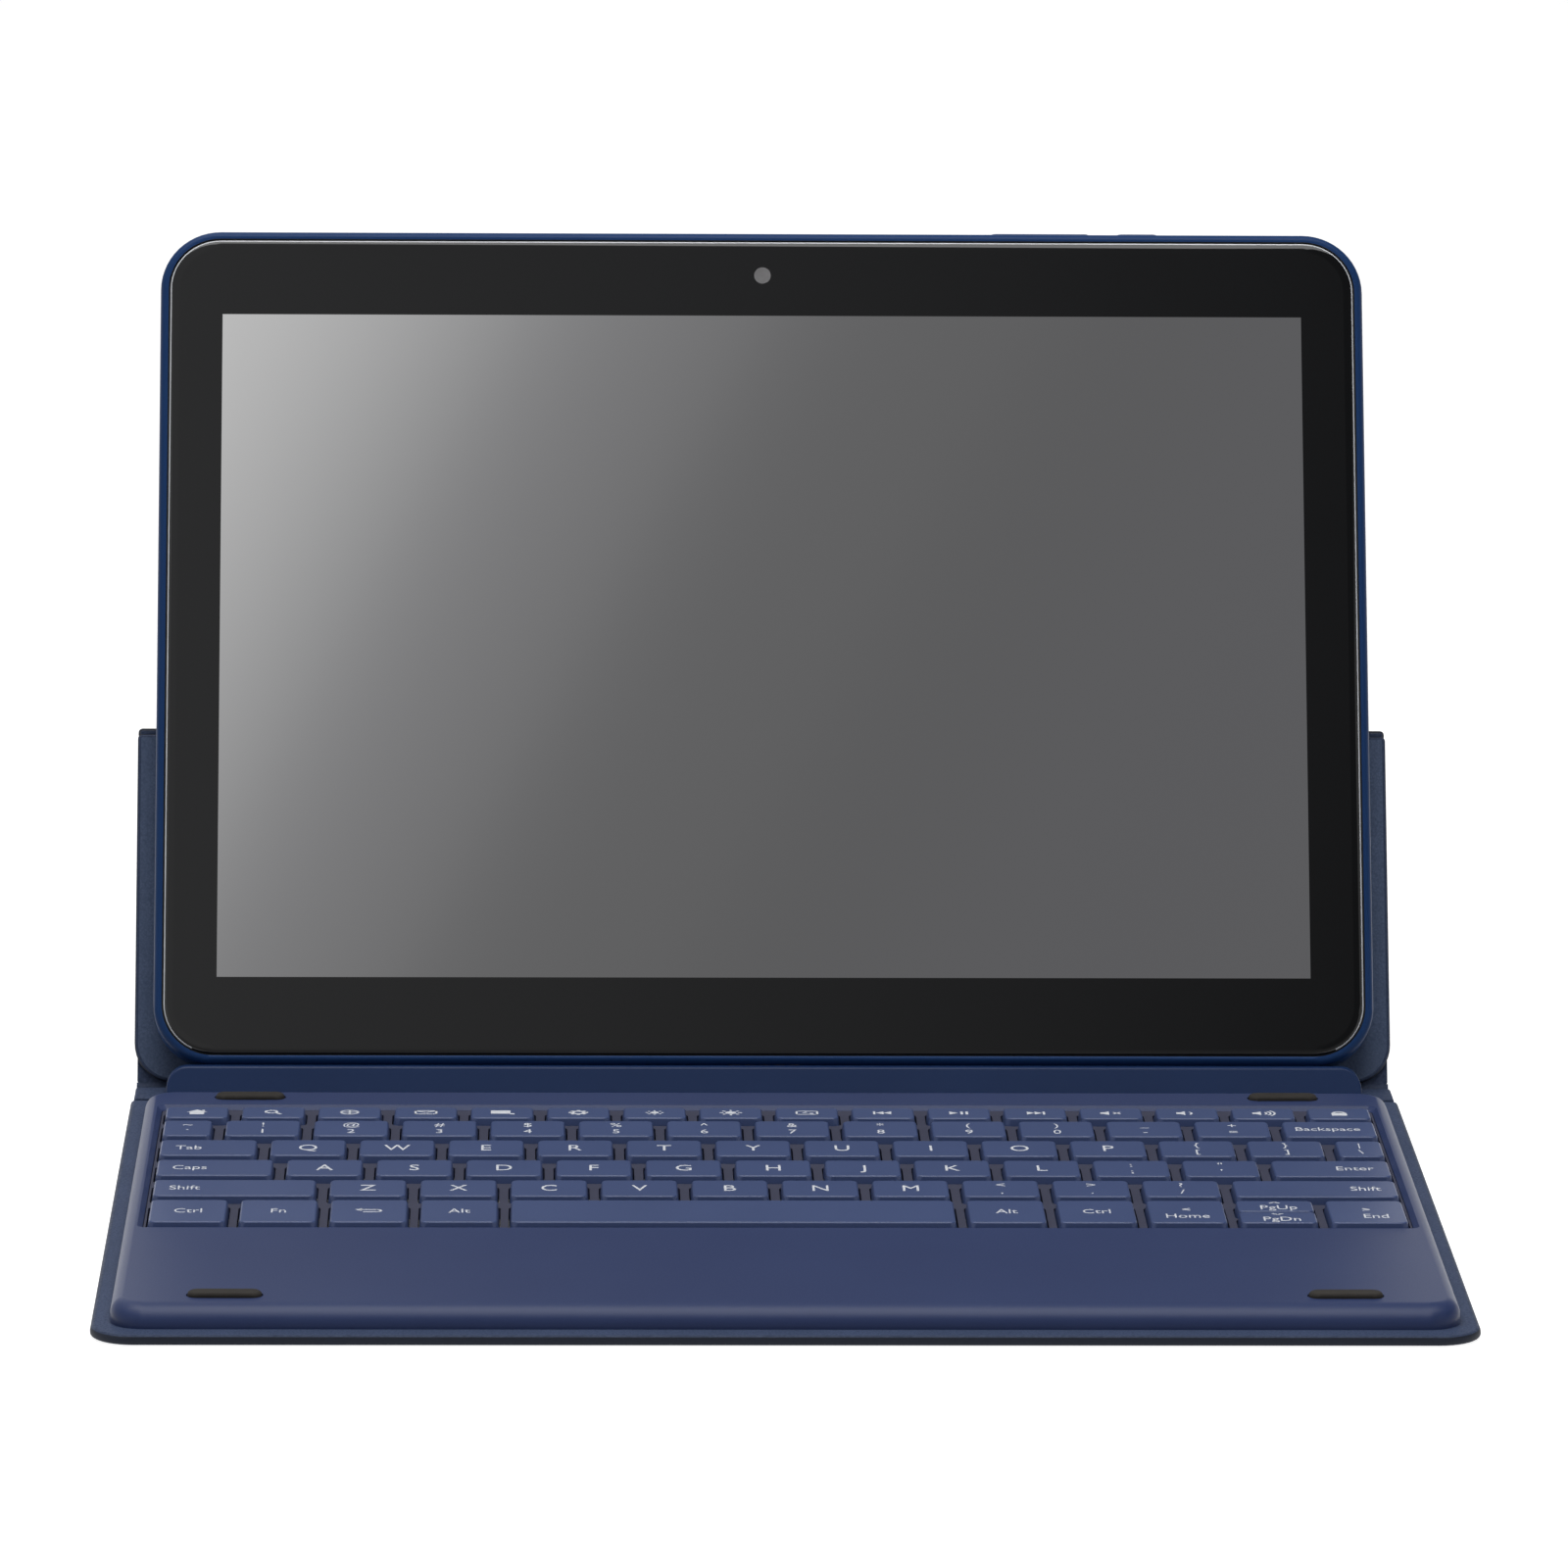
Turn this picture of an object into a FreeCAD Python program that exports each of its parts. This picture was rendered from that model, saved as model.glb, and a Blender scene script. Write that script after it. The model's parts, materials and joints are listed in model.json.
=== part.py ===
import FreeCAD, Part
import math
import os

Vec = FreeCAD.Vector
xAxis = Vec(1, 0, 0)

# Tablet keyboard case, open for typing. Millimetres, +Z up, -Y towards the typist, +X to the right.
# The origin is the middle of the base cover's underside.

# Folding line of the first crease, and half the width of the flexible skin there
foldAxisY = 94.0
creaseHalf = 1.0
creaseSkin = 0.5

# Folio panels: outer skin with a turned edge, board in its pocket, lining on top
coverWidth = 250.0
baseFront = -91.2
baseRear = foldAxisY - creaseHalf
baseCornerRadius = 8.0
squareCorner = 0.6
skinThick = 0.5
boardThick = 0.9
liningThick = 0.4
panelThick = skinThick + boardThick + liningThick
boardInset = 2.5

# Spine strip between the two creases
hingeWidth = 249.0
foldAxisZ = panelThick / 2
spineFront = foldAxisY + creaseHalf
spineRear = 104.6
spineThick = 1.6
creaseBend = 0.9

# Keyboard deck
deckWidth = 243.0
deckFront = -86.3
deckRear = 83.6
deckBottom = panelThick
deckTop = 6.0
deckCornerRadius = 6.0
deckEdgeRadius = 3.0
deckWall = 1.6
deckRoof = 1.0
wellWidth = 235.9
wellFront = -26.8
wellRear = 70.1
wellFlare = 0.9
wellCornerRadius = 1.5
wellRim = 1.0

# Layers under the keys
bottomCaseThick = 0.6
supportPlateThick = 0.3
membraneThick = 0.25
keyFrameThick = 0.45
latticeTop = 5.1
latticeGap = 0.15
layerWidth = 238.8
layerOverhang = 0.8
domeBaseRadius = 2.6
domeTopRadius = 1.3
domeTop = 4.4

# Keys
keyRowWidth = 233.6
keyWidth = 14.1
keyGap = 2.9
bottomKeyGap = 2.7
keyBottom = 4.25
keyTop = 6.6
keyDraft = 0.4
keyCornerRadius = 1.1
keyEdgeRadius = 0.35
keyWall = 0.8
keyClearance = 0.6
letterRowDepth = 12.4
functionKeyWidth = 11.9
functionRowDepth = 8.6
bottomRowDepth = 16.9
pageKeyGap = 0.9
functionRowY = 62.1
numberRowY = 49.0
upperRowY = 32.9
middleRowY = 16.8
lowerRowY = 0.7
bottomRowY = -17.25

# Bumpers, screws and magnets in the deck
bumperLength = 13.4
bumperWidth = 4.2
bumperX = 101.0
bumperRearY = 77.3
bumperFrontY = -78.0
bumperSeat = 5.5
bumperTop = 6.8
screwPlaces = [(sx * x, y) for y in (-78.0, -34.0, 77.0) for x in (40.0, 112.0) for sx in (-1, 1)]
screwRadius = 0.7
screwHeadRadius = 1.3
screwHeadThick = 0.4
screwTip = 4.6
bossRadius = 1.8
closingMagnetX = 85.0
closingMagnetY = -60.0
closingMagnetSize = (16.0, 5.0, 1.5)

# Controller board under the palm rest, with its chip and ribbon plug
controllerSize = (64.0, 28.0, 0.8)
controllerY = -58.0
chipSize = (10.0, 10.0, 1.1)
plugSize = (14.0, 4.0, 1.1)
plugShift = 11.0

# Ribbon from the deck to the dock bar
ribbonWidth = 12.0
ribbonThick = 0.2
ribbonRear = 98.0
ribbonFront = 79.0
ribbonSlotHeight = 0.6

# Dock bar: flat lip in front, sloping seat behind the line on which the tablet pivots
leanAngle = 23.5
barLength = 236.3
barFront = 95.5
barRear = spineRear
barTop = 7.2
barEndRadius = 4.0
barLipRadius = 0.8
barRake = 3.2
barWall = 1.0
barPlateThick = 0.6
dockMagnetX = 70.0
dockMagnetSize = (50.0, 3.5, 2.0)
contactBlockSize = (20.0, 4.9, 1.8)
pivotY = 100.2
pivotZ = 7.5
contactPitch = 3.0
contactCount = 5
contactRadius = 0.7
contactBack = 2.4
contactProud = 0.2
contactDepth = 2.4
padSize = 2.0
padThick = 0.5

# Tablet, in its own leaning frame: s runs up the glass from the pivot, t runs back from the glass
tabletWidth = 242.0
tabletHeight = 170.4
tabletThick = 9.5
tabletCornerRadius = 12.0
tabletBackRadius = 3.0
frameSetBack = 0.2
glassBorder = 2.0
glassThick = 1.0
glassGap = 0.15
shellWall = 4.0
shellBack = 1.2
displayWidth = 226.0
displayHeight = 145.0
displayThick = 2.2
displayLow = 12.6
cameraUp = 161.4
cameraRadius = 1.8
cameraModuleSize = (8.0, 6.8, 3.0)
cellSize = (88.0, 88.0, 3.6)
cellX = 48.0
cellUp = 68.0
mainBoardSize = (200.0, 35.0, 1.0)
mainBoardUp = 137.5
shieldSize = (70.0, 25.0, 1.6)
shieldX = -5.0
speakerSize = (18.0, 40.0, 3.5)
speakerX = 104.0
speakerUp = 60.0
microphoneX = -87.4
microphoneRadius = 0.5
rockerX = 56.2
rockerLength = 20.2
powerX = 75.8
powerLength = 8.5
buttonWidth = 2.6
buttonProud = 0.8
buttonPlay = 0.3
buttonBack = 4.6

# Lower back panel and prop leg, in the same leaning frame
panelFront = tabletThick + 0.3
panelBack = panelFront + panelThick
panelLow = -2.0
panelHigh = 68.8
panelCornerRadius = 8.0
panelSheetRadius = 1.5
legFoldGap = 0.5
legLength = 99.5
legCornerRadius = 10.0
foldUp = panelHigh + legFoldGap
foldBack = panelBack - 0.1
holdingMagnetRadius = 5.0
holdingMagnetPlaces = [(x, y) for x in (-85.0, 85.0) for y in (18.0, 52.0)]


def save(node, *solids):
    shape = solids[0] if len(solids) == 1 else Part.makeCompound(list(solids))
    shape.exportStep("parts/" + node + ".step")
    print(node, len(solids), round(shape.Volume, 2), shape.isValid())


def roundedWire(x0, x1, y0, y1, rLow, rHigh, z):
    # Rectangle with one radius at its two low-y corners and another at its two high-y corners
    corners = [(x1, y0, rLow, -90), (x1, y1, rHigh, 0), (x0, y1, rHigh, 90), (x0, y0, rLow, 180)]
    edges = []
    ends = []
    for x, y, r, start in corners:
        cx = x - math.copysign(r, x - (x0 + x1) / 2)
        cy = y - math.copysign(r, y - (y0 + y1) / 2)
        points = []
        for turn in (0, 45, 90):
            a = math.radians(start + turn)
            points.append(Vec(cx + r * math.cos(a), cy + r * math.sin(a), z))
        ends.append(points)
    for i, points in enumerate(ends):
        edges.append(Part.Arc(*points).toShape())
        edges.append(Part.LineSegment(points[2], ends[(i + 1) % 4][0]).toShape())
    return Part.Wire(edges)


def slab(width, y0, y1, rLow, rHigh, z0, z1, x=0.0):
    wire = roundedWire(x - width / 2, x + width / 2, y0, y1, rLow, rHigh, z0)
    return Part.Face(wire).extrude(Vec(0, 0, z1 - z0))


def box(x0, x1, y0, y1, z0, z1):
    return Part.makeBox(x1 - x0, y1 - y0, z1 - z0, Vec(x0, y0, z0))


def block(size, x, y, z0):
    # Box of a given size, centred on x and y and standing on z0
    width, depth, height = size
    return box(x - width / 2, x + width / 2, y - depth / 2, y + depth / 2, z0, z0 + height)


def rod(radius, x, y, z0, z1):
    return Part.makeCylinder(radius, z1 - z0, Vec(x, y, z0))


def prismAlongX(points, length):
    ring = [Vec(-length / 2, y, z) for y, z in points]
    face = Part.Face(Part.makePolygon(ring + [ring[0]]))
    return face.extrude(Vec(length, 0, 0))


def flatEdges(shape, z):
    return [e for e in shape.Edges if abs(e.BoundBox.ZMin - z) < 1e-6 and abs(e.BoundBox.ZMax - z) < 1e-6]


def lean(shape):
    # From the drawing plane (x, s, -t) to the leaning place on the dock bar
    placed = shape.copy()
    placed.rotate(Vec(0, 0, 0), xAxis, 90 - leanAngle)
    placed.translate(Vec(0, pivotY, pivotZ))
    return placed


def leanPoint(s, t):
    a = math.radians(leanAngle)
    return (pivotY + s * math.sin(a) + t * math.cos(a), pivotZ + s * math.cos(a) - t * math.sin(a))


def coverLayers(y0, y1, rLow, rHigh, z0, rSheet=None):
    # Skin, board and lining of one stiff panel, outer face at z0; the outer sheet can have its own low corners
    zBoard = z0 + skinThick
    zLining = zBoard + boardThick
    board = slab(coverWidth - 2 * boardInset, y0 + boardInset, y1 - boardInset,
                 max(rLow - boardInset, squareCorner), max(rHigh - boardInset, squareCorner), zBoard, zLining)
    skin = slab(coverWidth, y0, y1, rSheet or rLow, rHigh, z0, zBoard)
    edge = slab(coverWidth, y0, y1, rLow, rHigh, zBoard, zLining).cut(board)
    skin = skin.fuse(edge).removeSplitter()
    lining = slab(coverWidth, y0, y1, rLow, rHigh, zLining, zLining + liningThick)
    return skin, board, lining


def makeBaseCover():
    skin, board, lining = coverLayers(baseFront, baseRear, baseCornerRadius, squareCorner, 0.0)
    save("base_cover_skin", skin)
    save("base_cover_board", board)
    save("base_cover_lining", lining)


def makeCreases():
    save("front_crease_skin", box(-hingeWidth / 2, hingeWidth / 2, baseRear, spineFront, 0, creaseSkin))
    backEdge = leanPoint(panelLow, panelBack)
    innerEdge = leanPoint(panelLow, panelBack - creaseSkin)
    bendY = backEdge[0] - creaseBend
    underside = [(spineRear, 0), (bendY, 0), backEdge]
    upperside = [innerEdge, (bendY - creaseSkin / 2, creaseSkin), (spineRear, creaseSkin)]
    save("rear_crease_skin", prismAlongX(underside + upperside, hingeWidth))


def deckBlock(inset, z0, z1, edge):
    radius = deckCornerRadius - inset
    body = slab(deckWidth - 2 * inset, deckFront + inset, deckRear - inset, radius, radius, z0, z1)
    return body.makeFillet(edge, flatEdges(body, z1)) if edge else body


def stadium(length, width, x, y, z0, z1):
    radius = 0.495 * width
    return slab(length, y - width / 2, y + width / 2, radius, radius, z0, z1, x)


def bumperPlaces():
    return [(sx * bumperX, y) for sx in (-1, 1) for y in (bumperFrontY, bumperRearY)]


def wellMouth():
    # Sloping rim of the key well, widest at the top of the deck
    rings = []
    for grow, z in ((0.0, deckTop - wellFlare), (wellFlare, deckTop)):
        half = wellWidth / 2 + grow
        radius = wellCornerRadius + grow
        rings.append(roundedWire(-half, half, wellFront - grow, wellRear + grow, radius, radius, z))
    return Part.makeLoft(rings, True, True)


def makeDeck():
    case = deckBlock(0, deckBottom, deckTop, deckEdgeRadius)
    cavity = deckBlock(deckWall, deckBottom, deckTop - deckRoof, deckEdgeRadius - deckRoof)
    well = slab(wellWidth, wellFront, wellRear, wellCornerRadius, wellCornerRadius, deckBottom, deckTop + 1)
    well = well.fuse(wellMouth())
    layersTop = layerHeights()[-1]
    rim = slab(wellWidth + 2 * wellRim, wellFront - wellRim, wellRear + wellRim, wellCornerRadius + wellRim,
               wellCornerRadius + wellRim, layersTop, deckTop - deckRoof / 2)
    bossLow = deckBottom + bottomCaseThick
    bosses = [rod(bossRadius, x, y, bossLow, deckTop - deckRoof / 2) for x, y in screwPlaces]
    cavity = cavity.cut(Part.makeCompound([rim] + bosses))
    holes = [rod(screwRadius, x, y, deckBottom, screwTip) for x, y in screwPlaces]
    seats = [stadium(bumperLength, bumperWidth, x, y, bumperSeat, deckTop + 1) for x, y in bumperPlaces()]
    slot = box(-ribbonWidth / 2 - 0.5, ribbonWidth / 2 + 0.5, deckRear - 2 * deckWall, deckRear + 1,
               deckBottom, deckBottom + ribbonSlotHeight)
    case = case.cut(cavity)
    case = case.cut(Part.makeCompound([well] + holes + [slot]))
    save("keyboard_top_case", case.cut(Part.makeCompound(seats)))


def makeBottomCase():
    plate = deckBlock(deckWall, deckBottom, deckBottom + bottomCaseThick, 0)
    holes = [rod(screwRadius, x, y, deckBottom, deckTop) for x, y in screwPlaces]
    heads = [rod(screwHeadRadius, x, y, deckBottom, deckBottom + screwHeadThick) for x, y in screwPlaces]
    slot = box(-ribbonWidth / 2 - 0.5, ribbonWidth / 2 + 0.5, ribbonFront - 0.5, deckRear,
               deckBottom, deckTop)
    save("keyboard_bottom_case", plate.cut(Part.makeCompound(holes + heads + [slot])))
    screws = []
    for x, y in screwPlaces:
        head = rod(screwHeadRadius, x, y, deckBottom, deckBottom + screwHeadThick)
        screws.append(head.fuse(rod(screwRadius, x, y, deckBottom, screwTip)).removeSplitter())
    save("deck_screws", *screws)


def layerHeights():
    heights = [deckBottom + bottomCaseThick]
    for thick in (supportPlateThick, membraneThick, keyFrameThick):
        heights.append(heights[-1] + thick)
    return heights


def makeLayers(keys):
    plateLow, membraneLow, frameLow, frameHigh = layerHeights()
    y0 = wellFront - layerOverhang
    y1 = wellRear + layerOverhang
    save("key_support_plate", slab(layerWidth, y0, y1, squareCorner, squareCorner, plateLow, membraneLow))
    save("key_membrane", slab(layerWidth, y0, y1, squareCorner, squareCorner, membraneLow, frameLow))
    frame = slab(layerWidth, y0, y1, squareCorner, squareCorner, frameLow, frameHigh)
    frame = frame.fuse(slab(wellWidth - 2 * latticeGap, wellFront + latticeGap, wellRear - latticeGap,
                            wellCornerRadius, wellCornerRadius, frameLow, latticeTop))
    radius = keyCornerRadius + keyClearance
    openings = []
    for x, y, width, depth in keys:
        half = depth / 2 + keyClearance
        openings.append(slab(width + 2 * keyClearance, y - half, y + half, radius, radius, frameLow - 1,
                             latticeTop + 1, x))
    for some in (openings[0::2], openings[1::2]):
        frame = frame.cut(Part.makeCompound(some))
    save("key_frame", frame.removeSplitter())
    domes = [Part.makeCone(domeBaseRadius, domeTopRadius, domeTop - frameLow, Vec(x, y, frameLow))
             for x, y, width, depth in keys]
    save("rubber_domes", *domes)


def keycap(width, depth):
    def ring(grow, z):
        w = width / 2 + grow
        d = depth / 2 + grow
        r = keyCornerRadius + grow
        return roundedWire(-w, w, -d, d, r, r, z)
    outer = Part.makeLoft([ring(keyDraft, keyBottom), ring(0, keyTop)], True, True)
    outer = outer.makeFillet(keyEdgeRadius, flatEdges(outer, keyTop))
    inner = Part.makeLoft([ring(keyDraft - keyWall, keyBottom), ring(-keyWall, keyTop - keyWall)], True, True)
    return outer.cut(inner)


def rowKeys(widths, gap, y, depth):
    # A width of None takes what is left of the row
    spare = keyRowWidth - gap * (len(widths) - 1) - sum(w for w in widths if w)
    keys = []
    x = -keyRowWidth / 2
    for w in [w or spare for w in widths]:
        keys.append((x + w / 2, y, w, depth))
        x += w + gap
    return keys


def keyGroups():
    functionGap = (keyRowWidth - 16 * functionKeyWidth) / 15
    function = rowKeys([functionKeyWidth] * 16, functionGap, functionRowY, functionRowDepth)
    number = rowKeys([9.1] + [keyWidth] * 12 + [None], keyGap, numberRowY, letterRowDepth)
    upper = rowKeys([18.2] + [keyWidth] * 12 + [None], keyGap, upperRowY, letterRowDepth)
    middle = rowKeys([21.7] + [keyWidth] * 11 + [None], keyGap, middleRowY, letterRowDepth)
    lower = rowKeys([30.2] + [keyWidth] * 10 + [None], keyGap, lowerRowY, letterRowDepth)
    bottom = rowKeys([keyWidth] * 4 + [None] + [keyWidth] * 5, bottomKeyGap, bottomRowY, bottomRowDepth)
    pageX = bottom[8][0]
    pageDepth = (bottomRowDepth - pageKeyGap) / 2
    pageShift = (pageDepth + pageKeyGap) / 2
    return {
        "function_row_keys": function,
        "number_row_keys": number[:13],
        "backspace_key": number[13:],
        "tab_key": upper[:1],
        "upper_letter_keys": upper[1:],
        "caps_key": middle[:1],
        "middle_letter_keys": middle[1:12],
        "enter_key": middle[12:],
        "left_shift_key": lower[:1],
        "lower_letter_keys": lower[1:11],
        "right_shift_key": lower[11:],
        "bottom_left_keys": bottom[:4],
        "space_bar": bottom[4:5],
        "bottom_right_keys": bottom[5:8],
        "page_up_key": [(pageX, bottomRowY + pageShift, keyWidth, pageDepth)],
        "page_down_key": [(pageX, bottomRowY - pageShift, keyWidth, pageDepth)],
        "end_key": bottom[9:],
    }


def makeKeys():
    shapes = {}
    for node, keys in keyGroups().items():
        caps = []
        for x, y, width, depth in keys:
            size = (round(width, 3), round(depth, 3))
            if size not in shapes:
                shapes[size] = keycap(*size)
            cap = shapes[size].copy()
            cap.translate(Vec(x, y, 0))
            caps.append(cap)
        save(node, *caps)


def makeDeckFittings():
    bumpers = []
    for x, y in bumperPlaces():
        pad = stadium(bumperLength, bumperWidth, x, y, bumperSeat, bumperTop)
        bumpers.append(pad.makeFillet(0.6, flatEdges(pad, bumperTop)))
    save("rubber_bumpers", *bumpers)
    boardLow = deckBottom + bottomCaseThick
    boardHigh = boardLow + controllerSize[2]
    board = block(controllerSize, 0, controllerY, boardLow)
    chip = block(chipSize, 0, controllerY, boardHigh)
    plug = block(plugSize, 0, controllerY + plugShift, boardHigh)
    save("controller_board", board, chip, plug)
    magnetLow = deckTop - deckRoof - closingMagnetSize[2]
    magnets = [block(closingMagnetSize, sx * closingMagnetX, closingMagnetY, magnetLow) for sx in (-1, 1)]
    save("closing_magnets", *magnets)
    save("dock_ribbon", box(-ribbonWidth / 2, ribbonWidth / 2, ribbonFront, ribbonRear, deckBottom,
                            deckBottom + ribbonThick))


def barProfile(inset, bottom):
    slope = math.tan(math.radians(leanAngle))
    rake = barRake / (barTop - spineThick)
    top = barTop - inset
    y0 = barFront + inset * math.hypot(1, rake)
    y1 = barRear - inset
    knee = pivotY - inset * math.tan(math.radians(leanAngle / 2))
    crest = y0 + rake * (top - bottom)
    return [(y0, bottom), (crest, top), (knee, top), (y1, top - (y1 - knee) * slope), (y1, bottom)]


def contactRods(radius, s0, s1):
    # Rods square to the sloping seat, which lies along t at s = barTop - pivotZ
    rods = []
    for i in range(contactCount):
        x = (i - (contactCount - 1) / 2) * contactPitch
        r = Part.makeCylinder(radius, s1 - s0, Vec(x, s0, -contactBack), Vec(0, 1, 0))
        rods.append(lean(r))
    return rods


def makeDockBar():
    save("spine_strip", box(-hingeWidth / 2, hingeWidth / 2, spineFront, spineRear, 0, spineThick))
    bar = prismAlongX(barProfile(0, spineThick), barLength)
    lip = [e for e in flatEdges(bar, barTop) if abs(e.BoundBox.YMax - barFront - barRake) < 1e-6]
    bar = bar.makeFillet(barLipRadius, lip)
    frontView = slab(barLength, 0, barTop, squareCorner, barEndRadius, -barRear - 1, -barFront + 1)
    frontView.rotate(Vec(0, 0, 0), xAxis, 90)
    bar = bar.common(frontView)
    seat = barTop - pivotZ
    cavityLength = barLength - 2 * (barEndRadius + barWall)
    cavity = prismAlongX(barProfile(barWall, spineThick), cavityLength)
    slot = box(-ribbonWidth / 2 - 0.5, ribbonWidth / 2 + 0.5, barFront - 1, barFront + 2 * barWall,
               spineThick, spineThick + ribbonSlotHeight + 0.3)
    holes = contactRods(contactRadius + 0.1, seat - 2, seat + 1)
    save("dock_bar_cover", bar.cut(cavity).cut(Part.makeCompound(holes + [slot])))
    plateTop = spineThick + barPlateThick
    plate = box(-cavityLength / 2, cavityLength / 2, ribbonRear + 0.3, barRear - barWall, spineThick, plateTop)
    save("dock_bar_plate", plate)
    insideY = (ribbonRear + barRear - barWall) / 2 + 0.1
    magnets = [block(dockMagnetSize, sx * dockMagnetX, insideY, plateTop) for sx in (-1, 1)]
    save("dock_magnets", *magnets)
    holder = block(contactBlockSize, 0, insideY, plateTop)
    pins = contactRods(contactRadius, seat - contactDepth, seat + contactProud)
    save("contact_block", holder.cut(Part.makeCompound(pins)))
    save("spring_contacts", *pins)


def tabletBlock(border, t0, t1):
    r = tabletCornerRadius - border
    return slab(tabletWidth - 2 * border, border, tabletHeight - border, r, r, -t1, -t0)


def buttonRod(x, length, grow, s0, s1):
    # Button with rounded ends, standing up along s
    width = buttonWidth + 2 * grow
    half = length / 2 + grow
    wire = roundedWire(x - half, x + half, -width / 2, width / 2, width / 2 - 0.05, width / 2 - 0.05, 0)
    bar = Part.Face(wire).extrude(Vec(0, 0, s1 - s0))
    bar.rotate(Vec(0, 0, 0), xAxis, -90)
    bar.translate(Vec(0, s0, -buttonBack))
    return bar


def makeTabletShell():
    shell = tabletBlock(0, frameSetBack, tabletThick)
    shell = shell.makeFillet(tabletBackRadius, flatEdges(shell, -tabletThick))
    shell = shell.makeFillet(0.6, flatEdges(shell, -frameSetBack))
    glassSeat = tabletBlock(glassBorder - glassGap, -1, glassThick)
    cavity = tabletBlock(shellWall, glassThick, tabletThick - shellBack)
    slots = [buttonRod(x, length, buttonPlay, tabletHeight - shellWall - 1, tabletHeight + 1)
             for x, length in ((rockerX, rockerLength), (powerX, powerLength))]
    bore = Vec(microphoneX, tabletHeight - shellWall - 0.5, -buttonBack)
    microphone = Part.makeCylinder(microphoneRadius, shellWall + 1, bore, Vec(0, 1, 0))
    pads = Part.makeCompound(padBlocks())
    cuts = Part.makeCompound(slots + [microphone])
    save("tablet_shell", lean(shell.cut(glassSeat).cut(cavity).cut(cuts).cut(pads)))


def padBlocks():
    places = [(i - (contactCount - 1) / 2) * contactPitch for i in range(contactCount)]
    return [block((padSize, padThick, padSize), x, padThick / 2, -contactBack - padSize / 2) for x in places]


def makeTabletInside():
    glass = tabletBlock(glassBorder, 0, glassThick)
    window = Part.makeCylinder(cameraRadius, glassThick, Vec(0, cameraUp, -glassThick))
    save("cover_glass", lean(glass.cut(window)))
    lens = Part.makeCylinder(cameraRadius, glassThick - 0.1, Vec(0, cameraUp, -glassThick))
    module = block(cameraModuleSize, 0, cameraUp, -glassThick - cameraModuleSize[2])
    save("front_camera", lean(lens.fuse(module)))
    displayBack = glassThick + displayThick
    displaySize = (displayWidth, displayHeight, displayThick)
    display = block(displaySize, 0, displayLow + displayHeight / 2, -displayBack)
    save("display_panel", lean(display))
    floor = shellBack - tabletThick
    save("battery_cells", *[lean(block(cellSize, sx * cellX, cellUp, floor)) for sx in (-1, 1)])
    board = block(mainBoardSize, 0, mainBoardUp, floor)
    shield = block(shieldSize, shieldX, mainBoardUp, floor + mainBoardSize[2])
    save("main_board", lean(board), lean(shield))
    save("tablet_speakers", *[lean(block(speakerSize, sx * speakerX, speakerUp, floor)) for sx in (-1, 1)])
    save("contact_pads", *[lean(pad) for pad in padBlocks()])


def makeButtons():
    inside = tabletHeight - shellWall
    for node, x, length in (("volume_rocker", rockerX, rockerLength), ("power_button", powerX, powerLength)):
        stem = buttonRod(x, length, 0, inside - 1.6, tabletHeight + buttonProud)
        flange = buttonRod(x, length, 0.9, inside - 1.6, inside - 0.6)
        save(node, lean(stem.fuse(flange).removeSplitter()))


def makeBackPanel():
    skin, board, lining = coverLayers(panelLow, panelHigh, panelCornerRadius, squareCorner, -panelBack,
                                      panelSheetRadius)
    magnetLow = -panelBack + skinThick
    magnetHigh = magnetLow + boardThick
    magnets = [rod(holdingMagnetRadius, x, y, magnetLow, magnetHigh) for x, y in holdingMagnetPlaces]
    save("back_panel_skin", lean(skin))
    save("back_panel_board", lean(board.cut(Part.makeCompound(magnets))))
    save("back_panel_lining", lean(lining))
    save("holding_magnets", *[lean(m) for m in magnets])
    fold = Part.makeCylinder(legFoldGap - 0.05, hingeWidth, Vec(-hingeWidth / 2, foldUp, -foldBack), xAxis)
    save("leg_fold_skin", lean(fold))


def propAngle():
    # How far the leg is folded back from flat, so that its outer foot corner meets the table
    height = leanPoint(foldUp, foldBack)[1]
    outer = panelBack - foldBack
    low, high = 90.0, 150.0
    for _ in range(60):
        turn = (low + high) / 2
        a = math.radians(turn)
        foot = height + legLength * math.cos(a) - outer * math.sin(a)
        low, high = (turn, high) if foot > 0 else (low, turn)
    return low - leanAngle


def makePropLeg():
    low = foldUp + legFoldGap
    layers = coverLayers(low, foldUp + legLength, squareCorner, legCornerRadius, -panelBack)
    for node, layer in zip(("prop_leg_skin", "prop_leg_board", "prop_leg_lining"), layers):
        folded = layer.copy()
        folded.rotate(Vec(0, foldUp, -foldBack), xAxis, -propAngle())
        save(node, lean(folded))


os.makedirs("parts", exist_ok=True)
makeBaseCover()
makeCreases()
makeDeck()
makeBottomCase()
makeKeys()
makeLayers([key for keys in keyGroups().values() for key in keys])
makeDeckFittings()
makeDockBar()
makeTabletShell()
makeTabletInside()
makeButtons()
makeBackPanel()
makePropLeg()
print("first crease axis y, z", foldAxisY, foldAxisZ)
print("leg fold axis y, z", [round(v, 3) for v in leanPoint(foldUp, foldBack)])
print("leg unfolds by", round(propAngle(), 3), "degrees")
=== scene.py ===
import bmesh
import bpy
import json
import math
from mathutils import Matrix, Vector

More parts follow.
